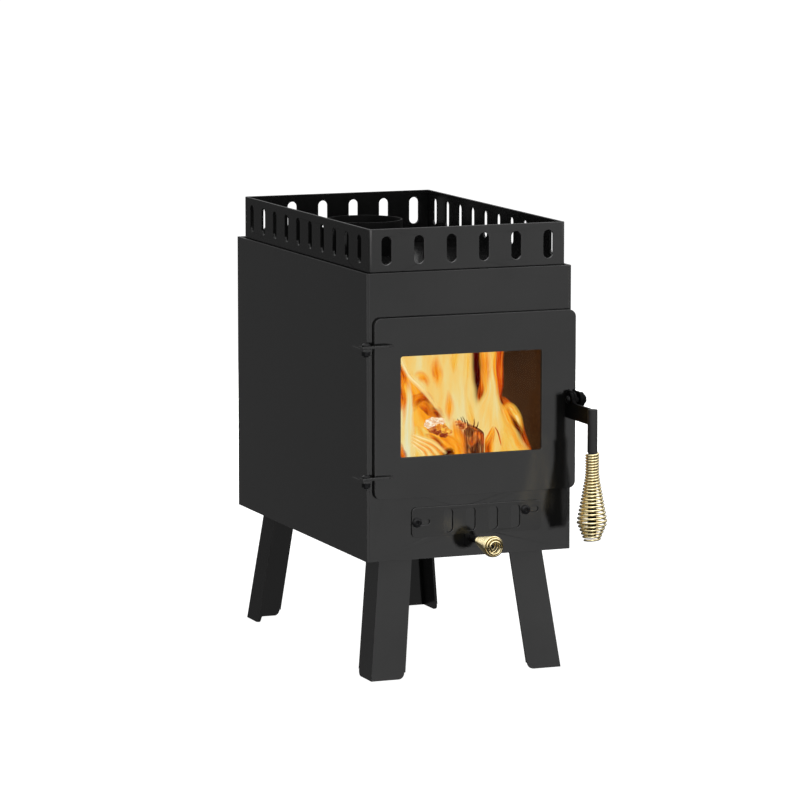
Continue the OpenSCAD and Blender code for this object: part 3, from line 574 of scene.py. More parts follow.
def coil_path(profile, pitches):
    start = profile[0][0]
    length = profile[-1][0] - start
    turn = 0.0
    places = [(0.0, start)]
    for i in range(COIL_SLICES):
        a = start + length * i / COIL_SLICES
        b = start + length * (i + 1) / COIL_SLICES
        run = math.hypot(b - a, along(profile, b) - along(profile, a))
        turn += run / along(pitches, (a + b) / 2)
        places.append((turn, b))
    count = int(turn * STEPS_PER_TURN)
    path = []
    for k in range(count + 1):
        t = turn * k / count
        distance = along(places, t)
        radius = along(profile, distance)
        angle = 2 * math.pi * t
        path.append(Vector((radius * math.cos(angle), radius * math.sin(angle), distance)))
    print("coil turns", round(turn, 2), "places", len(path))
    return path


print("path helper ready,", STEPS_PER_TURN, "places a turn")

# %% Sweep a round section along a path
def sweep(shape, frames, sides):
    """Leaves a closed skin in shape, and returns how far across and along each vertex lies."""
    ring = bmesh.ops.create_circle(shape, segments=sides, radius=1.0)["verts"]
    spread = {v: (v.co.x, 0.0) for v in ring}
    bmesh.ops.transform(shape, matrix=frames[0], verts=ring)
    edges = list({e for v in ring for e in v.link_edges})
    bmesh.ops.contextual_create(shape, geom=edges)
    length = 0.0
    for last, step in zip(frames, frames[1:]):
        length += (step.translation - last.translation).length
        grown = bmesh.ops.extrude_edge_only(shape, edges=edges)["geom"]
        ring = [g for g in grown if isinstance(g, bmesh.types.BMVert)]
        fresh = set(ring)
        edges = [g for g in grown if isinstance(g, bmesh.types.BMEdge)
                 and g.verts[0] in fresh and g.verts[1] in fresh]
        undo = last.inverted()
        for v in ring:
            spread[v] = ((undo @ v.co).x, length)
        bmesh.ops.transform(shape, matrix=step @ undo, verts=ring)
    bmesh.ops.contextual_create(shape, geom=edges)
    bmesh.ops.recalc_face_normals(shape, faces=shape.faces)
    return spread


def section_frame(side, front, way, place):
    """The matrix that carries the unit circle onto one place of a path."""
    return Matrix((
        (side.x, front.x, way.x, place.x),
        (side.y, front.y, way.y, place.y),
        (side.z, front.z, way.z, place.z),
        (0, 0, 0, 1),
    ))


print("sweep ready")

# %% Wire of the coils
WIRE_SIDES = 12
END_ROUND = 0.22


def wind_wire(name, path, wire_d, place):
    shape = bmesh.new()
    uv = shape.loops.layers.uv.new("wire")
    points = [path[0] - (path[1] - path[0]).normalized() * wire_d] + path
    points.append(path[-1] + (path[-1] - path[-2]).normalized() * wire_d)
    frames = []
    for i, point in enumerate(points):
        ahead = points[min(i + 1, len(points) - 1)] - points[max(i - 1, 0)]
        ahead.normalize()
        out = Vector((point.x, point.y, 0.0))
        out = (out - ahead * out.dot(ahead)).normalized()
        side = ahead.cross(out)
        frames.append(section_frame(out * wire_d / 2, side * wire_d / 2, ahead, point))
    spread = sweep(shape, frames, WIRE_SIDES)
    for face in shape.faces:
        face.smooth = len(face.verts) < WIRE_SIDES
        for loop in face.loops:
            loop[uv].uv = spread[loop.vert]
    ends = [f for f in shape.faces if len(f.verts) == WIRE_SIDES]
    rims = list({e for f in ends for e in f.edges})
    bmesh.ops.bevel(shape, geom=rims, offset=wire_d * END_ROUND, segments=3, profile=0.5,
                    affect="EDGES", material=-1)
    bmesh.ops.transform(shape, matrix=place, verts=shape.verts)
    return finish_mesh(name, shape, brass)


print("wire helper ready,", WIRE_SIDES, "sides")

# %% [markdown]
# ## The coiled grip
# The hand-hold is a spring with a straight neck that swells into a pear and closes again at its
# lower end, so that air cools it and the fingers have a stop. The neck's turns are closer than
# those on the belly. Bending a drawn curve would give the look only, a table of lengths and
# radii gives the measured shape. It hangs on the rod, neck up, so the coil is turned over.

# %% Coiled grip
GRIP_WIRE = 2.9 * MM
GRIP_LENGTH = 109.3 * MM
GRIP_NECK = 28.3 * MM
GRIP_NECK_R = (17.5 * MM - GRIP_WIRE) / 2
GRIP_WIDE_AT = 84.3 * MM
GRIP_WIDE_R = (38.3 * MM - GRIP_WIRE) / 2
GRIP_END_R = (20.8 * MM - GRIP_WIRE) / 2

rod_low, rod_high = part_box("latch_rod")
rod_middle = (rod_low + rod_high) / 2
grip_profile = [
    (GRIP_WIRE / 2, GRIP_NECK_R),
    (GRIP_NECK - 3 * MM, GRIP_NECK_R),
    (GRIP_NECK + 3 * MM, GRIP_NECK_R + 0.6 * MM),
    (GRIP_WIDE_AT - 3 * MM, GRIP_WIDE_R - 0.7 * MM),
    (GRIP_WIDE_AT + 1 * MM, GRIP_WIDE_R),
    (GRIP_WIDE_AT + 4 * MM, GRIP_WIDE_R - 0.9 * MM),
    (GRIP_LENGTH - GRIP_WIRE / 2, GRIP_END_R),
]
grip_pitches = [
    (0, 3.4 * MM), (GRIP_NECK, 3.4 * MM), (GRIP_WIDE_AT, 5.3 * MM), (GRIP_LENGTH, 4.2 * MM),
]
grip_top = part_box("grip_coil")[1].z
turned_over = Matrix.Rotation(math.pi, 4, "X")
grip_place = Matrix.Translation((rod_middle.x, rod_middle.y, grip_top)) @ turned_over
wound_grip = wind_wire("wound_grip", coil_path(grip_profile, grip_pitches), GRIP_WIRE, grip_place)
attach(wound_grip, "latch")
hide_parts("grip_coil")
print("grip vertices", len(wound_grip.data.vertices))

# %% [markdown]
# ## The coiled knob
# The air slider's knob is the same idea, smaller and lying flat: a cone of turns around the stud
# that closes over its front in a few rings, one inside the other. Rings of their own could close
# it, but a profile that bends over the front keeps it one wire, as it is.

# %% Coiled knob
KNOB_WIRE = 2.7 * MM
KNOB_LENGTH = 55.0 * MM
KNOB_FRONT = 7.0 * MM
KNOB_NECK_R = 3.6 * MM
KNOB_WIDE_R = (27.0 * MM - KNOB_WIRE) / 2
KNOB_END_R = 5.6 * MM

stud_low, stud_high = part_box("knob_stud")
stud_middle = (stud_low + stud_high) / 2
knob_profile = [(KNOB_WIRE / 2, KNOB_NECK_R)]
for degrees in range(0, 91, 6):
    bend = math.radians(degrees)
    knob_profile.append((
        KNOB_LENGTH - KNOB_FRONT + (KNOB_FRONT - KNOB_WIRE / 2) * math.sin(bend),
        KNOB_END_R + (KNOB_WIDE_R - KNOB_END_R) * math.cos(bend),
    ))
knob_pitches = [
    (0, 5.4 * MM), (KNOB_LENGTH - KNOB_FRONT - 6 * MM, 5.4 * MM),
    (KNOB_LENGTH - KNOB_FRONT, 3.7 * MM), (KNOB_LENGTH, 3.7 * MM),
]
knob_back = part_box("knob_coil")[1].y
laid_forward = Matrix.Rotation(math.pi / 2, 4, "X")
knob_place = Matrix.Translation((stud_middle.x, knob_back, stud_middle.z)) @ laid_forward
wound_knob = wind_wire("wound_knob", coil_path(knob_profile, knob_pitches), KNOB_WIRE, knob_place)
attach(wound_knob, "air_slider")
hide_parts("knob_coil")
print("knob vertices", len(wound_knob.data.vertices))

# %% [markdown]
# ## The fire behind the window
# A stove is shown alight: logs burning on a bed of embers, seen through the pane. Flames have no
# skin, and smoke simulations are slow and change from run to run. Here each tongue is a thin
# closed sheet of light instead: an oval section swept along a few listed places, glowing by
# itself and fading out at its rim. The places are given as fractions of the window, from its
# lower left corner, and a depth behind the door, so the fire stays in step with the window.

# %% Places behind the window
def behind_window(across, up, depth):
    spot = Vector((window_left + across * window_wide, door_low.y, window_foot + up * window_tall))
    sight = spot - CAMERA_PLACE
    return spot + sight * (depth / sight.y)


def tone(red, green, blue):
    return tuple(((v / 255 + 0.055) / 1.055) ** 2.4 if v > 10 else v / 255 / 12.92
                 for v in (red, green, blue))


print("window's middle", behind_window(0.5, 0.5, 0.0))

# %% [markdown]
# ## Flame finishes
# A flame's colour runs from red at the cool rim through orange and yellow to cream where it is
# hottest, drawn out in streaks along the tongue. The streaks come from a noise that is stretched
# along the sheet's own map. The sheet is black to all other light, and its cover falls to nothing
# at its two rims and its tip, where only a soft glow is left.

# %% Flame finishes
STREAK_RISE = 1.8
STREAK_CHANGE = 22.0


def shining(finish, **sockets):
    """Paints a finish that glows by itself, and keeps it from being sampled as a lamp."""
    finish.material.cycles.emission_sampling = "NONE"
    return finish.paint(Emission_Strength=1.0, **sockets)


def flame_finish(name, stops, rim=0.55, streak=2.4, foot=0.0, tip=0.82):
    finish = Finish(name)
    across, upward, _ = finish.split(finish.add("UVMap", {"uv_map": "flame"}))
    sideways = finish.split(finish.place())[0]
    drawn = finish.add("CombineXYZ", {}, {
        0: across * streak, 1: upward * STREAK_RISE, 2: sideways * STREAK_CHANGE,
    })
    streaks = finish.grain(drawn, 1.0, 4.0, 0.6)
    colour = finish.ramp(streaks, [(place, tone(*rgb)) for place, rgb in stops])
    cover = finish.span(abs(across), rim, 1.0, 1.0, 0.0) * finish.span(upward, tip, 1.0, 1.0, 0.0)
    if foot:
        cover = cover * finish.span(upward, 0.0, foot)
    return shining(finish, Base_Color=grey(0.0), Roughness=1.0, Emission_Color=colour, Alpha=cover,
                   Specular_IOR_Level=0.0)


def warm(*stops):
    return list(zip((0.36, 0.5, 0.64), stops))


gold = warm((240, 154, 34), (244, 186, 66), (246, 206, 104))
orange = warm((232, 124, 14), (250, 161, 32), (250, 190, 72))
rust = warm((132, 36, 0), (208, 88, 8), (242, 140, 26))
maroon = warm((40, 0, 0), (66, 0, 0), (104, 18, 2))
flames = {
    "cream": flame_finish("cream_flame", warm((245, 199, 106), (241, 212, 132), (236, 222, 162))),
    "pale": flame_finish("pale_flame", warm((244, 210, 130), (236, 222, 160), (230, 228, 190)), rim=0.3),
    "yellow": flame_finish("yellow_flame", warm((244, 168, 56), (242, 198, 92), (240, 218, 138))),
    "gold_haze": flame_finish("gold_haze", gold, rim=0.1, foot=0.3, tip=0.6),
    "orange": flame_finish("orange_flame", orange),
    "orange_haze": flame_finish("orange_haze", orange, rim=0.0, foot=0.35, tip=0.5),
    "deep": flame_finish("deep_orange_flame", rust),
    "ruby": flame_finish("ruby_flame", warm((150, 34, 0), (214, 78, 10), (248, 150, 40)), streak=3.4),
    "deep_haze": flame_finish("deep_orange_haze", rust, rim=0.1, foot=0.35, tip=0.55),
    "red": flame_finish("dark_red_flame", maroon),
    "red_haze": flame_finish("dark_red_haze", maroon, rim=0.1, foot=0.3, tip=0.6),
    "bright": flame_finish("bright_flame_edge", warm((247, 208, 122), (248, 220, 146), (250, 232, 176)),
                           rim=0.0, foot=0.2, tip=0.7),
}
print("flame finishes", len(flames))

# %% [markdown]
# ## Tongues of flame
# A tongue could be modelled by hand, but then every change of the window would mean doing it
# again. Here a few listed places, each with half a width in millimetres, are joined by a
# smooth curve, and the oval section turns and widens along it. A little noise in the width keeps
# the rims from looking drawn with a ruler.

# %% Make one tongue
COURSE_STEPS = 8
TONGUE_SIDES = 16
LEAST_HALF = 0.5
THINNEST = 0.6 * MM
THICKEST = 6 * MM
WAVER = 0.18
WAVER_GRAIN = 55


def smooth_course(course):
    points = [Vector(p) for p in course]
    points = [points[0] * 2 - points[1]] + points + [points[-1] * 2 - points[-2]]
    smooth = []
    for a, b, c, d in zip(points, points[1:], points[2:], points[3:]):
        for k in range(COURSE_STEPS):
            t = k / COURSE_STEPS
            smooth.append((b * 2 + (c - a) * t + (a * 2 - b * 5 + c * 4 - d) * t * t
                           + (b * 3 - a - c * 3 + d) * t ** 3) * 0.5)
    smooth.append(points[-2])
    return smooth


def tongue(name, finish, depth, course):
    places = smooth_course(course)
    spots = [behind_window(p.x, p.y, depth) for p in places]
    frames = []
    for i, spot in enumerate(spots):
        way = (spots[min(i + 1, len(spots) - 1)] - spots[max(i - 1, 0)]).normalized()
        sight = (spot - CAMERA_PLACE).normalized()
        side = way.cross(sight).normalized()
        front = side.cross(way)
        half = max(places[i].z, LEAST_HALF) * MM
        half *= 1 + WAVER * noise.noise(spot * WAVER_GRAIN)
        thick = min(max(half * 0.3, THINNEST), THICKEST)
        frames.append(section_frame(side * half, front * thick, way, spot))
    shape = bmesh.new()
    uv = shape.loops.layers.uv.new("flame")
    spread = sweep(shape, frames, TONGUE_SIDES)
    longest = max(run for _, run in spread.values())
    for face in shape.faces:
        face.smooth = True
        for loop in face.loops:
            across, run = spread[loop.vert]
            loop[uv].uv = (across, run / longest)
    piece = finish_mesh(name, shape, flames[finish])
    piece.visible_shadow = False
    piece.visible_diffuse = False
    piece.visible_glossy = False
    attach(piece, "stove")


print("tongue helper ready")

# %% [markdown]
# ## The body of the fire
# Broad cream and yellow tongues fill the window from behind. A dark red gap stays open between
# the main flame and the one to its right, and the fire's right edge leans in as it rises. Each
# row of the table names a tongue, its finish, how much deeper it stands than the rest, and its
# places: across, up and half a width.

# %% Broad flames
BACK_DEPTH = 0.085
back_flames = [
    ("left", "cream", 0.006, [
        (-0.02, -0.15, 32), (0.02, 0.3, 36), (0.03, 0.7, 36), (0.04, 1.3, 30)]),
    ("main", "cream", 0.0, [(0.20, -0.15, 50), (0.22, 0.3, 55), (0.24, 0.7, 50), (0.25, 1.3, 42)]),
    ("centre", "cream", 0.002, [
        (0.42, -0.15, 30), (0.44, 0.35, 28), (0.43, 0.62, 19), (0.425, 0.8, 15), (0.425, 1.3, 14)]),
    ("gap", "red", 0.035, [(0.56, 0.35, 14), (0.55, 0.7, 17), (0.545, 1.3, 17)]),
    ("gap_edge", "red_haze", -0.002, [
        (0.535, 0.52, 1), (0.525, 0.66, 3.5), (0.52, 0.85, 5), (0.52, 1.3, 6)]),
    ("jag", "deep", 0.024, [(0.59, 0.42, 10), (0.58, 0.6, 8), (0.575, 0.72, 4), (0.56, 0.86, 1)]),
    ("jag_gold", "orange", 0.022, [
        (0.60, 0.4, 9), (0.595, 0.55, 5), (0.60, 0.66, 1.5), (0.60, 0.74, 1)]),
    ("right", "yellow", 0.004, [
        (0.60, -0.15, 36), (0.61, 0.3, 28), (0.635, 0.6, 11), (0.62, 0.8, 11), (0.61, 1.3, 12)]),
    ("right_core", "cream", -0.004, [
        (0.60, -0.1, 20), (0.60, 0.3, 22), (0.64, 0.62, 7), (0.62, 0.85, 6), (0.60, 1.2, 5)]),
    ("right_rim", "ruby", 0.008, [
        (0.66, 0.4, 6), (0.67, 0.65, 10), (0.675, 0.9, 9), (0.675, 1.3, 9)]),
    ("right_thread", "orange", 0.0, [
        (0.665, 0.5, 3), (0.665, 0.7, 3), (0.655, 0.85, 3), (0.65, 1.2, 3)]),
    ("right_field", "yellow", -0.002, [
        (0.83, -0.25, 34), (0.755, 0.0, 27), (0.705, 0.2, 18), (0.655, 0.42, 8), (0.64, 0.55, 3)]),
    ("foot_red", "deep", 0.002, [
        (0.92, -0.2, 12), (0.84, 0.08, 12), (0.80, 0.28, 12), (0.765, 0.42, 8), (0.735, 0.5, 6),
        (0.70, 0.57, 1)]),
    ("foot_gold", "orange", 0.0, [
        (0.87, -0.05, 3), (0.82, 0.14, 4), (0.76, 0.32, 6), (0.72, 0.44, 4), (0.69, 0.5, 1)]),
    ("foot_shade", "red_haze", -0.003, [
        (0.85, 0.06, 4), (0.835, 0.2, 6), (0.80, 0.3, 5), (0.76, 0.38, 2)]),
    ("foot_streak", "gold_haze", -0.004, [
        (0.71, 0.42, 2), (0.765, 0.455, 6), (0.81, 0.375, 7), (0.845, 0.26, 5), (0.86, 0.16, 2)]),
    ("foot_light", "bright", -0.005, [
        (0.755, 0.46, 1), (0.79, 0.42, 3), (0.825, 0.33, 3), (0.845, 0.24, 1)]),
    ("right_top", "orange_haze", -0.006, [
        (0.59, 0.6, 3), (0.60, 0.8, 8), (0.60, 1.0, 10), (0.60, 1.3, 10)]),
    ("far_left", "orange", 0.01, [
        (-0.16, -0.12, 22), (-0.17, 0.35, 19), (-0.12, 0.75, 9), (-0.13, 1.1, 2)]),
    ("far_back", "deep", 0.12, [
        (0.2, -0.1, 60), (0.25, 0.4, 50), (0.22, 0.8, 26), (0.24, 1.15, 4)]),
]
for title, finish, behind, course in back_flames:
    tongue("flame_" + title, finish, BACK_DEPTH + behind, course)
print("broad flames", len(back_flames))

# %% [markdown]
# ## Flames in front
# Nearer the pane, narrow streaks cross the broad flames: a bright diagonal with an orange field
# below it, red patches at the left and hair-thin yellow lines that rise from the log. A single
# painted sheet could hold them all, but tongues of their own shift against each other with the
# view. A fan of thin stripes is made by a loop, because its stripes differ only in step.

# %% Narrow flames
FRONT_DEPTH = 0.055
front_flames = [
    ("field", "orange", 0.008, [
        (0.15, 0.1, 20), (0.13, 0.35, 22), (0.08, 0.6, 16), (0.025, 0.8, 9), (0.0, 0.93, 3)]),
    ("field_gold", "gold_haze", 0.007, [
        (0.22, 0.3, 3), (0.20, 0.45, 9), (0.16, 0.6, 7), (0.1, 0.72, 3)]),
    ("field_low", "yellow", 0.006, [
        (0.16, -0.1, 26), (0.15, 0.1, 22), (0.12, 0.3, 10), (0.1, 0.42, 2)]),
    ("diagonal", "bright", 0.0, [
        (-0.02, 1.06, 2.6), (0.05, 0.82, 3.2), (0.135, 0.69, 3.4), (0.22, 0.54, 3.2),
        (0.32, 0.34, 2.4)]),
    ("left_pale", "pale", 0.004, [
        (0.03, -0.15, 14), (0.04, 0.1, 11), (0.05, 0.35, 8), (0.06, 0.55, 5), (0.05, 0.78, 3)]),
    ("patch_low", "deep_haze", 0.002, [
        (0.0, 0.46, 3), (0.005, 0.56, 7), (0.0, 0.66, 6), (0.0, 0.74, 2)]),
    ("patch_high", "deep_haze", 0.002, [
        (-0.01, 0.68, 3), (0.012, 0.79, 7), (0.0, 0.88, 5), (-0.01, 0.95, 1)]),
    ("arch", "deep_haze", 0.003, [
        (0.07, 0.44, 3), (0.10, 0.56, 10), (0.145, 0.59, 11), (0.19, 0.53, 10), (0.21, 0.42, 3)]),
    ("arch_dark", "red_haze", 0.0025, [
        (0.085, 0.50, 3), (0.115, 0.575, 7), (0.15, 0.58, 8), (0.19, 0.52, 3)]),
    ("arch_fall", "deep_haze", 0.002, [
        (0.12, 0.58, 4), (0.155, 0.51, 9), (0.18, 0.43, 8), (0.20, 0.34, 4)]),
    ("over_lump", "deep_haze", 0.003, [
        (0.17, 0.36, 3), (0.21, 0.425, 9), (0.25, 0.42, 9), (0.30, 0.35, 3)]),
    ("over_lump_dark", "red_haze", 0.002, [
        (0.19, 0.385, 1.5), (0.215, 0.42, 4), (0.24, 0.415, 4), (0.27, 0.37, 1.5)]),
    ("under_lump", "deep_haze", 0.0, [
        (0.18, 0.27, 4), (0.25, 0.24, 9), (0.31, 0.2, 8), (0.36, 0.17, 3)]),
    ("fan_shade", "deep_haze", -0.002, [
        (0.16, 0.22, 2), (0.21, 0.2, 4), (0.27, 0.13, 5), (0.31, 0.05, 2)]),
    ("fan_orange", "orange", -0.001, [
        (0.20, 0.22, 3), (0.29, 0.17, 8), (0.37, 0.09, 9), (0.41, -0.08, 8)]),
    ("lean_left", "orange_haze", 0.004, [
        (0.36, 0.38, 3), (0.38, 0.24, 9), (0.41, 0.08, 9), (0.43, -0.12, 8)]),
    ("lean_red", "deep_haze", 0.003, [
        (0.40, 0.34, 3), (0.42, 0.2, 6), (0.43, 0.08, 6), (0.445, -0.1, 5)]),
    ("log_right", "orange", 0.01, [
        (0.59, -0.1, 9), (0.615, 0.08, 8), (0.64, 0.19, 5), (0.655, 0.27, 1)]),
    ("log_right_red", "deep_haze", 0.008, [
        (0.60, -0.12, 6), (0.61, 0.05, 6), (0.64, 0.15, 4), (0.66, 0.24, 1)]),
    ("log_thread", "bright", 0.0, [
        (0.585, -0.1, 1.6), (0.585, 0.08, 1.5), (0.59, 0.2, 1.2), (0.6, 0.26, 0.6)]),
    ("thread", "deep", 0.004, [
        (0.665, 0.25, 0.6), (0.685, 0.2, 1.0), (0.70, 0.12, 1.0), (0.71, 0.06, 0.6)]),
    ("spot_high", "orange_haze", 0.012, [
        (0.255, 0.66, 3), (0.255, 0.78, 8), (0.245, 0.88, 8), (0.25, 1.02, 3)]),
    ("spot_left", "orange_haze", 0.012, [
        (0.09, 0.8, 3), (0.13, 0.81, 8), (0.17, 0.76, 7), (0.19, 0.68, 2)]),
    ("spot_low", "orange_haze", 0.012, [
        (0.34, 0.32, 3), (0.34, 0.44, 6), (0.34, 0.54, 6), (0.33, 0.66, 2)]),
    ("streak_gold", "gold_haze", 0.014, [
        (0.452, 0.5, 3), (0.452, 0.7, 5), (0.462, 0.9, 5), (0.47, 1.2, 5)]),
    ("streak_mid", "gold_haze", 0.014, [
        (0.37, 0.8, 2), (0.375, 0.92, 5), (0.385, 1.02, 5), (0.39, 1.2, 4)]),
    ("streak_low", "gold_haze", 0.014, [
        (0.52, 0.25, 3), (0.49, 0.36, 6), (0.47, 0.48, 5), (0.46, 0.6, 2)]),
    ("dark_corner", "red_haze", -0.006, [
        (0.30, -0.06, 3), (0.32, 0.01, 6), (0.35, 0.03, 6), (0.38, -0.02, 2)]),
    ("dark_left", "deep_haze", -0.006, [
        (0.0, 0.16, 2), (0.005, 0.08, 4), (0.01, 0.02, 6), (0.01, -0.12, 5)]),
]
FAN_STRIPES = 7
for i in range(FAN_STRIPES):
    fan = i / (FAN_STRIPES - 1)
    front_flames.append(("fan_%d" % (i + 1), "orange_haze" if i % 2 else "bright", -0.003 - 0.0006 * i, [
        (0.065, 0.15 + 0.09 * fan, 1.6),
        (0.11 + 0.03 * fan, 0.10 + 0.09 * fan, 2.6),
        (0.15 + 0.09 * fan, 0.04 + 0.08 * fan, 3.0),
        (0.17 + 0.18 * fan, -0.08 + 0.05 * fan, 2.6),
    ]))
for title, finish, behind, course in front_flames:
    tongue("flame_" + title, finish, FRONT_DEPTH + behind, course)
print("narrow flames", len(front_flames))

# %% [markdown]
# ## Logs and embers
# The fire burns on a mound of embers that covers the grate, with a short split log leaning in it,
# longer ones behind and a burnt-through one that carries a white-hot lump. Logs are swept like
# the wire, with a bark that is dented by noise, and the mound is a ball that is flattened onto
# the grate. Charcoal is black, cracked into small plates, and it glows where a crack lets the
# heat out, so the distance to the nearest edge of a cell pattern drives its glow.

# %% Burning wood finishes
CRACK_WIDTH = 0.16
CHAR_RELIEF = 1.5 * MM


def burning(name, shades, cracks, scale, stretch, glow_at):
    """shades: cold wood, dark to light, then its glow, dark to light. cracks: their glow."""
    finish = Finish(name)
    spot = finish.place(scale=stretch)
    plates = finish.add("TexVoronoi", {"feature": "DISTANCE_TO_EDGE"}, {
        "Vector": spot, "Scale": scale, "Randomness": 1.0,
    })
    grit = finish.grain(spot, scale * 4, 4.0, 0.6)
    heat = finish.grain(spot, scale * 0.4, 3.0, 0.5)
    crack = finish.span(plates, 0.0, CRACK_WIDTH, 1.0, 0.0)
    open_crack = crack * finish.span(heat, glow_at, glow_at + 0.2)
    cold_dark, cold_light, warm_dark, warm_light = (tone(*shade) for shade in shades)
    plate_glow = finish.ramp(heat, [(0.35, warm_dark), (0.7, warm_light)])
    crack_glow = finish.ramp(grit, [(0.35, tone(*cracks[0])), (0.65, tone(*cracks[1]))])
    return shining(finish, Base_Color=finish.ramp(grit, [(0.3, cold_dark), (0.7, cold_light)]),
                   Roughness=0.9, Emission_Color=finish.blend(open_crack, plate_glow, crack_glow),
                   Normal=finish.bump(plates + grit * 0.3, CHAR_RELIEF, 0.8), Specular_IOR_Level=0.2)


def glowing_bark():
    finish = Finish("glowing_bark")
    fibres = finish.grain(finish.place(scale=(1.0, 1.0, 0.16)), 430, 5.0, 0.7)
    heat = finish.grain(finish.place(), 75, 2.0, 0.5)
    # The cold ramp is emitted: the wood's browns and tans are painted firelight on the bark, while the
    # hot ramp is the real glow where the heat noise is high.
    cold = finish.ramp(fibres, [(0.34, tone(26, 7, 3)), (0.46, tone(92, 38, 12)),
                                (0.56, tone(132, 78, 34)), (0.68, tone(198, 156, 104))])
    hot = finish.ramp(fibres, [(0.34, tone(70, 14, 2)), (0.48, tone(168, 52, 8)),
                               (0.62, tone(236, 130, 34))])
    light = finish.blend(finish.span(heat, 0.48, 0.62), cold, hot)
    return shining(finish, Base_Color=tone(14, 9, 5), Roughness=0.9, Emission_Color=light,
                   Normal=finish.bump(fibres, CHAR_RELIEF, 0.8), Specular_IOR_Level=0.1)


EVEN = (1.0, 1.0, 1.0)
bark = glowing_bark()
char = burning("charred_wood", ((12, 8, 4), (30, 18, 8), (58, 18, 2), (142, 84, 32)),
               ((170, 84, 20), (206, 140, 62)), 150, (1.0, 1.0, 0.12), 0.55)
ember = burning("glowing_ember", ((40, 20, 12), (90, 50, 30), (120, 30, 4), (235, 120, 30)),
                ((250, 170, 60), (255, 235, 160)), 140, EVEN, 0.4)
white_hot = burning("white_hot_ember", ((20, 13, 6), (40, 28, 14), (252, 232, 192), (255, 250, 238)),
                    ((190, 100, 34), (250, 196, 116)), 170, EVEN, 0.36)
yellow_hot = burning("yellow_hot_ember", ((20, 13, 6), (44, 30, 14), (222, 116, 16), (252, 200, 80)),
                     ((150, 48, 2), (226, 120, 20)), 170, EVEN, 0.32)
print("made", [m.name for m in (bark, char, ember, white_hot, yellow_hot)])

# %% Mound of embers
MOUND = Vector((105 * MM, 175 * MM, 26 * MM))
MOUND_DENTS = Vector((0, 0, 4 * MM))
DENT_GRAIN = 70
LUMP_GRAIN = 2.1
LUMP_CHANGE = 90
OVER_GRATE = 0.1 * MM


def lump(shape, middle, size, detail, roughness):
    made = bmesh.ops.create_icosphere(shape, subdivisions=detail, radius=1.0)["verts"]
    for v in made:
        v.co *= 1 + roughness * noise.noise(v.co * LUMP_GRAIN + middle * LUMP_CHANGE)
        v.co = Vector((v.co.x * size.x, v.co.y * size.y, v.co.z * size.z)) + middle


def finish_fuel(name, shape, material, smooth=False):
    for face in shape.faces:
        face.smooth = smooth
    piece = finish_mesh(name, shape, material)
    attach(piece, "stove")
    print(name, "faces", len(piece.data.polygons))


grate_middle = (grate_low + grate_high) / 2
mound_middle = Vector((grate_middle.x, grate_middle.y, grate_high.z))
shape = bmesh.new()
lump(shape, mound_middle, MOUND, 5, 0.35)
for v in shape.verts:
    v.co += MOUND_DENTS * noise.noise(v.co * DENT_GRAIN)
    v.co.z = max(v.co.z, grate_high.z + OVER_GRATE)
finish_fuel("ember_bed", shape, ember, smooth=True)

# %% Loose embers
LOOSE_EMBERS = 70
GOLDEN_ANGLE = 2.399963
EMBER_REACH = 0.86

shape = bmesh.new()
for i in range(LOOSE_EMBERS):
    turn = i * GOLDEN_ANGLE
    reach = math.sqrt((i + 0.5) / LOOSE_EMBERS)
    spot = mound_middle + Vector((
        EMBER_REACH * MOUND.x * reach * math.cos(turn), EMBER_REACH * MOUND.y * reach * math.sin(turn),
        MOUND.z * math.sqrt(1 - (0.8 * reach) ** 2) * 0.92,
    ))
    size = (6 + 4 * noise.noise(spot * 200)) * MM
    lump(shape, spot, Vector((size, size * 0.8, size * 0.7)), 2, 0.5)
finish_fuel("ember_lumps", shape, ember)

# %% Logs
LOG_SIDES = 20
LOG_RINGS = 14
LOG_DEPTH = 0.062
LOG_WAVER = 0.07
BARK_DENTS = 0.16
SAW_ROUND = 1.5 * MM
SPLIT_FACING = (0.42, -0.25, 0.87)


def log(name, first, last, radius, material, cut_at=None):
    way = (last - first).normalized()
    side = way.cross(Vector((0.3, 0.2, 1.0))).normalized()
    front = side.cross(way)
    frames = []
    for i in range(LOG_RINGS + 1):
        spot = first.lerp(last, i / LOG_RINGS)
        half = radius * (1 + LOG_WAVER * noise.noise(spot * 40))
        frames.append(section_frame(side * half, front * half, way, spot))
    shape = bmesh.new()
    sweep(shape, frames, LOG_SIDES)
    middle = (first + last) / 2
    for v in shape.verts:
        out = v.co - middle
        out -= way * out.dot(way)
        v.co += out * BARK_DENTS * noise.noise(out * 160 + way * 3)
    if cut_at:
        whole = [*shape.verts, *shape.edges, *shape.faces]
        cut = bmesh.ops.bisect_plane(shape, geom=whole, plane_co=cut_at, plane_no=SPLIT_FACING,
                                     clear_outer=True)["geom_cut"]
        bmesh.ops.contextual_create(shape, geom=[e for e in cut if isinstance(e, bmesh.types.BMEdge)])
        bmesh.ops.recalc_face_normals(shape, faces=shape.faces)
    log_ends = [f for f in shape.faces if len(f.verts) >= LOG_SIDES]
    bmesh.ops.bevel(shape, geom=list({e for f in log_ends for e in f.edges}), offset=SAW_ROUND,
                    segments=2, profile=0.5, affect="EDGES", material=-1)
    finish_fuel(name, shape, material)


def on_mound(across, back, up):
    return mound_middle + Vector((across, back, up))


log("leaning_log", behind_window(0.525, -0.24, LOG_DEPTH), behind_window(0.512, 0.33, LOG_DEPTH),
    12.5 * MM, bark, cut_at=behind_window(0.51, 0.265, LOG_DEPTH))
log("left_log", on_mound(-0.055, -0.11, 0.034), on_mound(-0.04, 0.14, 0.036), 22 * MM, char)
log("right_log", on_mound(0.05, -0.09, 0.034), on_mound(0.035, 0.15, 0.034), 24 * MM, char)
log("hot_log", behind_window(0.34, -0.21, 0.080), behind_window(0.245, 0.30, 0.056), 7.5 * MM, yellow_hot)

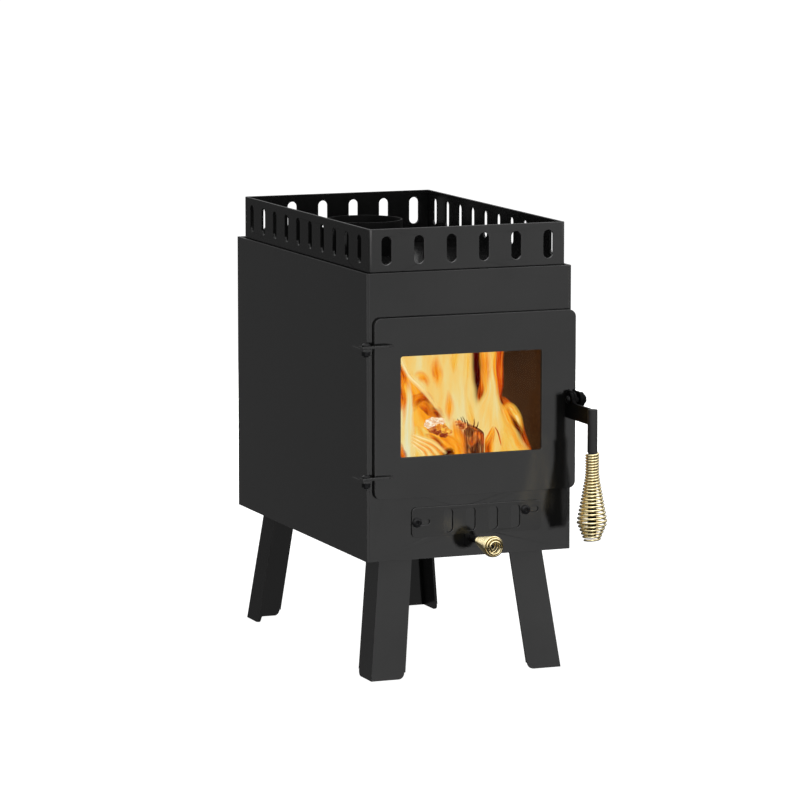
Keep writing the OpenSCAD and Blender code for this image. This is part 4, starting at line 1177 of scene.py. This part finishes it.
# %% White-hot lump and spikes
LUMP_DEPTH = 0.05
SPIKE_DEPTH = 0.048


def lumps(name, places, material):
    shape = bmesh.new()
    for across, up, wide, tall in places:
        size = Vector((wide * MM, 6 * MM, tall * MM))
        lump(shape, behind_window(across, up, LUMP_DEPTH), size, 3, 0.55)
    finish_fuel(name, shape, material, smooth=True)


lumps("hot_lump", [(0.205, 0.33, 6, 5), (0.235, 0.345, 7, 5), (0.27, 0.345, 6, 4),
                   (0.19, 0.305, 4, 3)], white_hot)
lumps("hot_crumbs", [(0.265, 0.305, 4, 4), (0.295, 0.29, 4, 4), (0.31, 0.255, 5, 4),
                     (0.335, 0.235, 4, 3), (0.25, 0.275, 5, 3)], yellow_hot)
lumps("red_crumbs", [(0.22, 0.265, 6, 4), (0.25, 0.24, 5, 3), (0.30, 0.205, 5, 3),
                     (0.41, 0.315, 5, 3), (0.435, 0.285, 5, 4)], ember)
spikes = [((0.42, 0.28), (0.395, 0.36)), ((0.435, 0.29), (0.42, 0.375)), ((0.455, 0.29), (0.432, 0.38)),
          ((0.47, 0.28), (0.46, 0.345)), ((0.51, 0.26), (0.515, 0.35)), ((0.53, 0.25), (0.545, 0.32))]
for i, (foot, tip) in enumerate(spikes):
    middle = ((foot[0] + tip[0]) / 2 + 0.004, (foot[1] + tip[1]) / 2)
    tongue("spike_%d" % (i + 1), "red", SPIKE_DEPTH, [(*foot, 0.9), (*middle, 0.7), (*tip, 0.3)])
print("spikes", len(spikes))

# %% [markdown]
# ## Glow of the fire
# The fire lights the firebox from within. Flames that are only thin sheets would give too little
# and too uneven light for it, so three small warm lamps stand among them. They light the soot
# and stay unseen: neither the camera, nor a reflection, nor the glass shows them.

# %% Firebox glow
GLOW_COLOUR = (1.0, 0.62, 0.3)
GLOW_RADIUS = 0.03
glow_lamps = [("low", 0.3, 0.15, 0.09, 0.4), ("high", 0.5, 0.75, 0.06, 0.6),
              ("rear", 0.3, 0.5, 0.24, 0.5)]
for title, across, up, depth, power in glow_lamps:
    data = bpy.data.lights.new("glow_" + title, "POINT")
    data.energy = power
    data.color = GLOW_COLOUR
    data.shadow_soft_size = GLOW_RADIUS
    glow = bpy.data.objects.new("glow_" + title, data)
    glow.location = behind_window(across, up, depth)
    glow.visible_glossy = False
    glow.visible_camera = False
    glow.visible_transmission = False
    bpy.context.scene.collection.objects.link(glow)
print("glow lamps", len(glow_lamps))
